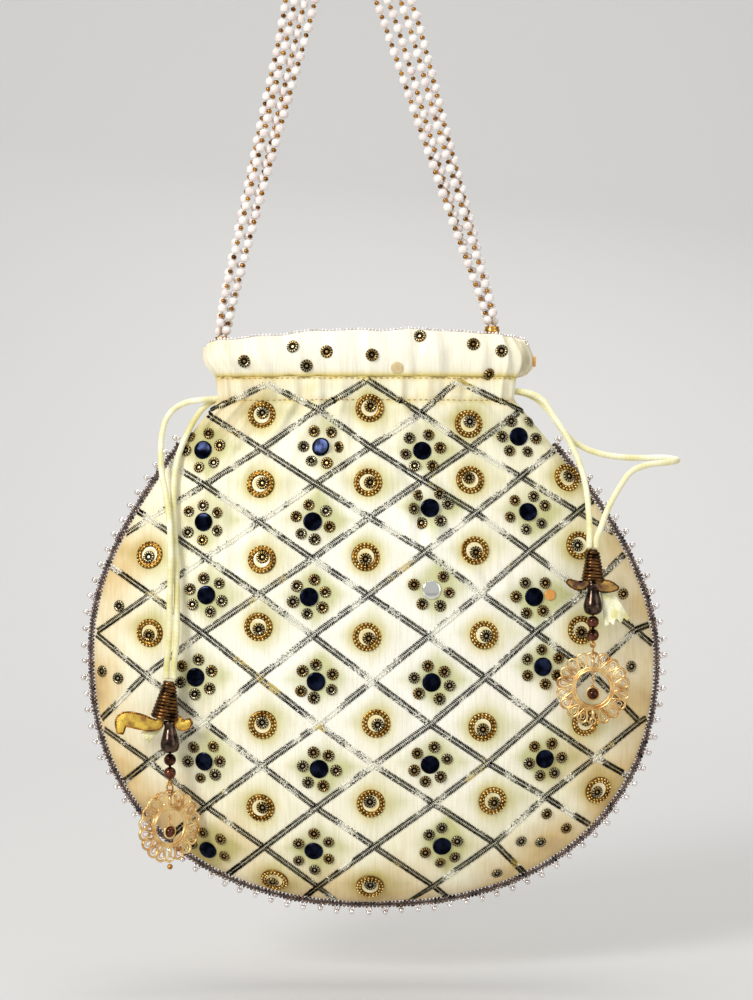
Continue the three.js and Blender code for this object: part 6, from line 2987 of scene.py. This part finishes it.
    def leaf_pieces(self, plan: TasselPlan, top: Vector, beads: Recipe) -> None:
        """Makes the cloth leaves with their braided edges, and the ribbon.

        Args:
            plan: The tassel's plan.
            top: The top of the cone.
            beads: The recipe for beads along a line.
        """
        side = plan.side
        cuts = plan.leaves
        leaves = [
            shell(*cuts[part].grids(top, 10, 34, 0.0, 0.25 * MM))
            for part in ("leaf_outer", "leaf_inner")
        ]
        cloth = BROCADE if side == "left" else DARK_BROCADE
        braiding = COPPER_SEED if side == "left" else BRONZE
        piece = shape_object(f"{side}_leaves", *joined(*leaves), cloth)
        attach(piece, "bag")
        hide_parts(f"{side}_leaf_outer", f"{side}_leaf_inner")
        edges = [cuts[part].border(top) for part in ("leaf_outer", "leaf_inner")]
        for number, edge in enumerate(edges):
            braid = beads.make(
                f"{side}_leaf_braid_{number + 1}",
                line_mesh("braid", [edge]),
                braiding,
                Start=0.1 * MM,
                Count=round(length_of(edge) / (0.72 * MM)),
                Radius=0.52 * MM,
                Flatness=1.3,
                Divisions=2,
                Unevenness=0.12,
            )
            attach(braid, "bag")
        ribbon = shape_object(
            f"{side}_frayed_ribbon",
            *shell(*cuts["ribbon"].grids(top, 26, 40, 0.13, 0.7 * MM)),
            RIBBON,
        )
        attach(ribbon, "bag")
        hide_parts(f"{side}_ribbon")

    def build(self, plan: TasselPlan, beads: Recipe, copies: Recipe, coils: Recipe) -> None:
        """Makes one tassel.

        Args:
            plan: Its plan.
            beads: The recipe for beads along a line.
            copies: The recipe for copies round a ring.
            coils: The recipe for a wound wire.
        """
        top = plan.top(self)
        self.cone_pieces(plan, top, coils)
        gap = SHAPE.gap
        bell = -plan.cone_height - gap - 0.1 * MM
        upper = bell - self.bell_length - gap - self.bead
        lower = upper - 2 * self.bead - gap
        eye = lower - self.bead - gap - self.wire - self.eye
        link = eye - self.link
        middle = link - self.link - self.pendant + self.hole_drop
        pin_top = -self.cone_wall - gap - 0.2 * MM

        def at(height: float, turned: bool = False) -> Matrix:
            """Gives a place below the top, turned as the pendant is."""
            turn = Matrix.Rotation(math.radians(plan.turn if turned else 0), 4, "Z")
            return Matrix.Translation(top) @ turn @ Matrix.Translation((0, 0, height))

        self.add(plan, "pear_bell", "bell", self.bell_shape(), at(bell), BELL)
        self.add(plan, "bead_above", "upper_bead", self.bead_shape(), at(upper), DARK_COPPER)
        self.add(plan, "bead_below", "lower_bead", self.bead_shape(), at(lower), DARK_COPPER)
        rod_low = self.eye - 0.1 * MM
        rod = lathe([(0, rod_low), (self.pin, rod_low), (self.pin, pin_top - eye), (0, pin_top - eye)], 14)
        eye_ring = torus(self.eye, self.wire, 24, 8)
        self.add(plan, "eye_pin", "pin", joined(rod, eye_ring), at(eye, True), GOLD)
        ring = moved(torus(self.link, self.wire, 32, 8), Matrix.Rotation(math.pi / 2, 4, "Z"))
        self.add(plan, "jump_ring", "link", ring, at(link, True), GOLD)
        self.filigree(copies, plan, at(middle, True))
        self.add(plan, "charm_chain", "charm_ball", self.charm(), at(middle, True), PALE_GOLD)
        low = middle - self.ball_drop
        self.add(plan, "charm", "charm_ball", ball(self.ball, 26, 16), at(low, True), DARK_COPPER)
        low = middle - self.pendant - gap - self.drop
        self.add(plan, "end_bead", "drop_bead", ball(self.drop, 18, 12), at(low, True), GOLD)
        self.leaf_pieces(plan, top, beads)


@dataclass
class Studio:
    """The camera, the lights, the floor and the pale surroundings."""

    floor_z: float = -0.4145
    lens: float = 72.0
    sensor: float = 36.0
    pale: RGBA = field(default_factory=lambda: colour(206, 205, 203))
    white: RGBA = (1.0, 1.0, 1.0, 1.0)

    def camera(self) -> None:
        """Sets the camera where the picture was taken from."""
        data = bpy.data.cameras.new("camera")
        data.lens = self.lens
        data.sensor_width = self.sensor
        data.sensor_fit = "AUTO"
        data.clip_start = 0.01
        camera = bpy.data.objects.new("camera", data)
        camera.location = (VIEW.x, VIEW.y, VIEW.z)
        camera.rotation_euler = (math.pi / 2, 0, 0)
        bpy.context.scene.collection.objects.link(camera)
        bpy.context.scene.camera = camera

    def light(self, name: str, place: Place, aim: Place, size: float, power: float) -> None:
        """Adds a soft square light.

        Args:
            name: The light's name.
            place: Where it stands.
            aim: What it faces.
            size: The length of its side.
            power: Its power in watts.
        """
        data = bpy.data.lights.new(name, "AREA")
        data.shape = "SQUARE"
        data.size = size
        data.energy = power
        lamp = bpy.data.objects.new(name, data)
        lamp.location = place
        lamp.rotation_euler = (Vector(aim) - Vector(place)).to_track_quat("-Z", "Y").to_euler()
        bpy.context.scene.collection.objects.link(lamp)

    def floor(self) -> None:
        """Lays the pale floor, which curves up behind the object."""
        half, back, bend = 12.0, 1.7, 1.0
        profile = [(-4.0, self.floor_z)]
        for k in range(25):
            turn = math.pi / 2 * k / 24
            profile.append(
                (back - bend + bend * math.sin(turn), self.floor_z + bend * (1 - math.cos(turn)))
            )
        profile.append((back, 4.0))
        corners = [(x, y, z) for y, z in profile for x in (-half, half)]
        quads = [(2 * i, 2 * i + 1, 2 * i + 3, 2 * i + 2) for i in range(len(profile) - 1)]
        mesh = bpy.data.meshes.new("floor")
        mesh.from_pydata(corners, [], quads)
        mesh.shade_smooth()
        material = bpy.data.materials.new("floor")
        material.use_nodes = True
        shader = material.node_tree.nodes["Principled BSDF"]
        shader.inputs["Base Color"].default_value = self.pale
        shader.inputs["Roughness"].default_value = 0.9
        mesh.materials.append(material)
        floor = bpy.data.objects.new("floor", mesh)
        bpy.context.scene.collection.objects.link(floor)

    def world(self, fill: float) -> None:
        """Makes the surroundings: white behind the object, a soft fill everywhere else.

        Args:
            fill: The strength of the fill.
        """
        world = bpy.data.worlds.new("studio")
        bpy.context.scene.world = world
        world.use_nodes = True
        tree = world.node_tree
        tree.nodes.clear()
        graph = Graph(tree)
        path = graph.add("ShaderNodeLightPath")
        strength = graph.add(
            "ShaderNodeMix", {0: path.outputs["Is Camera Ray"]}, data_type="FLOAT"
        )
        strength.inputs[2].default_value = fill
        strength.inputs[3].default_value = 1.0
        background = graph.add("ShaderNodeBackground", {"Color": self.white, "Strength": strength})
        graph.add("ShaderNodeOutputWorld", {"Surface": background})

    def build(self) -> None:
        """Sets up the whole studio."""
        self.camera()
        self.floor()
        self.world(0.52)
        middle = (0.014, 0.0, -0.26)
        self.light("key", (-0.85, -1.1, 0.45), middle, 0.5, 14.5)
        self.light("fill", (1.2, -1.1, 0.0), middle, 1.1, 4.0)
        self.light("back", (0.2, 1.1, 0.7), middle, 0.9, 4.0)
        self.light("wall", (0.0, 0.2, 2.2), (0.0, 1.9, 0.2), 1.6, 26.0)
        bpy.context.scene.view_settings.view_transform = "Standard"


def sewn_seams(beads: Recipe) -> None:
    """Makes the tan stitches along the casing's top edge and the gathered waist.

    Args:
        beads: The recipe for beads along a line.
    """
    for side in Side:
        for label, stage, share, out in (
            ("casing", Stage.CASING, 0.93, 0.12),
            ("waist", Stage.CASING, 0.04, 0.1),
        ):
            facts = SHAPE.row(stage, share, SHAPE.bulge(side), 0.0)
            across = np.linspace(-0.9, 0.9, 300)
            base = [SHAPE.point(a, facts, 0.0, side) for a in across]
            place = np.array([tuple(point) for point in base])
            lift = RELIEF.lift(across, place, side)
            line = [
                Vector((p.x, p.y - side.value * (rise + out * MM), p.z)) for p, rise in zip(base, lift)
            ]
            line = evenly(line, 0.4 * MM)
            stitches = beads.make(
                f"{side.label}_{label}_stitches",
                line_mesh("stitches", [line]),
                STITCH,
                Start=0.5 * MM,
                Count=round(length_of(line) / (2.3 * MM)),
                Radius=0.27 * MM,
                Flatness=2.9,
                Divisions=1,
                Unevenness=0.1,
            )
            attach(stitches, "bag")


NOISE_SEED = 5
STITCH = Satin("tan_stitch", "satin_cord", colour(206, 168, 116), colour(168, 128, 80))


def main() -> None:
    """Builds the bag and the studio."""
    logging.basicConfig(level=logging.INFO, format="%(message)s")
    noise.seed_set(NOISE_SEED)
    Studio().build()
    beads, copies, coils = bead_row(), ring_copies(), coil()
    tassel = Tassel()
    for plan in (LEFT_TASSEL, RIGHT_TASSEL):
        Drawstring(plan, tassel).build()
        tassel.build(plan, beads, copies, coils)
    Handle().build(beads)
    front = Wall(Side.FRONT, "front_cloth", "front_panel")
    front.build()
    Wall(
        Side.BACK, "back_cloth", "back_panel", columns=120, upper_rows=56, lower_rows=50
    ).build()
    inside = SHAPE.cloth_wall + SHAPE.lining_gap
    for side in Side:
        Wall(
            side,
            f"{side.label}_inner_lining",
            f"{side.label}_lining",
            finish=LINING,
            columns=90,
            casing_rows=0,
            upper_rows=44,
            lower_rows=46,
            first_share=0.18,
            inset=inside,
            thickness=SHAPE.lining_wall,
            lined=True,
            flat=(0.235, 0.2),
            cut_area=0.034,
        ).build()
        CasingStrip(side).build()
    frill = Frill(Side.FRONT)
    frill.build(beads)
    rear = Frill(Side.BACK)
    rear.end_disc(rear.build(beads))
    sewn_seams(beads)
    SeamEdge().build(beads, picot_edge())
    Embroidery(front.guide, surface_stitches(), surface_motifs(), copies).build(frill.guide)


if __name__ == "__main__":
    main()
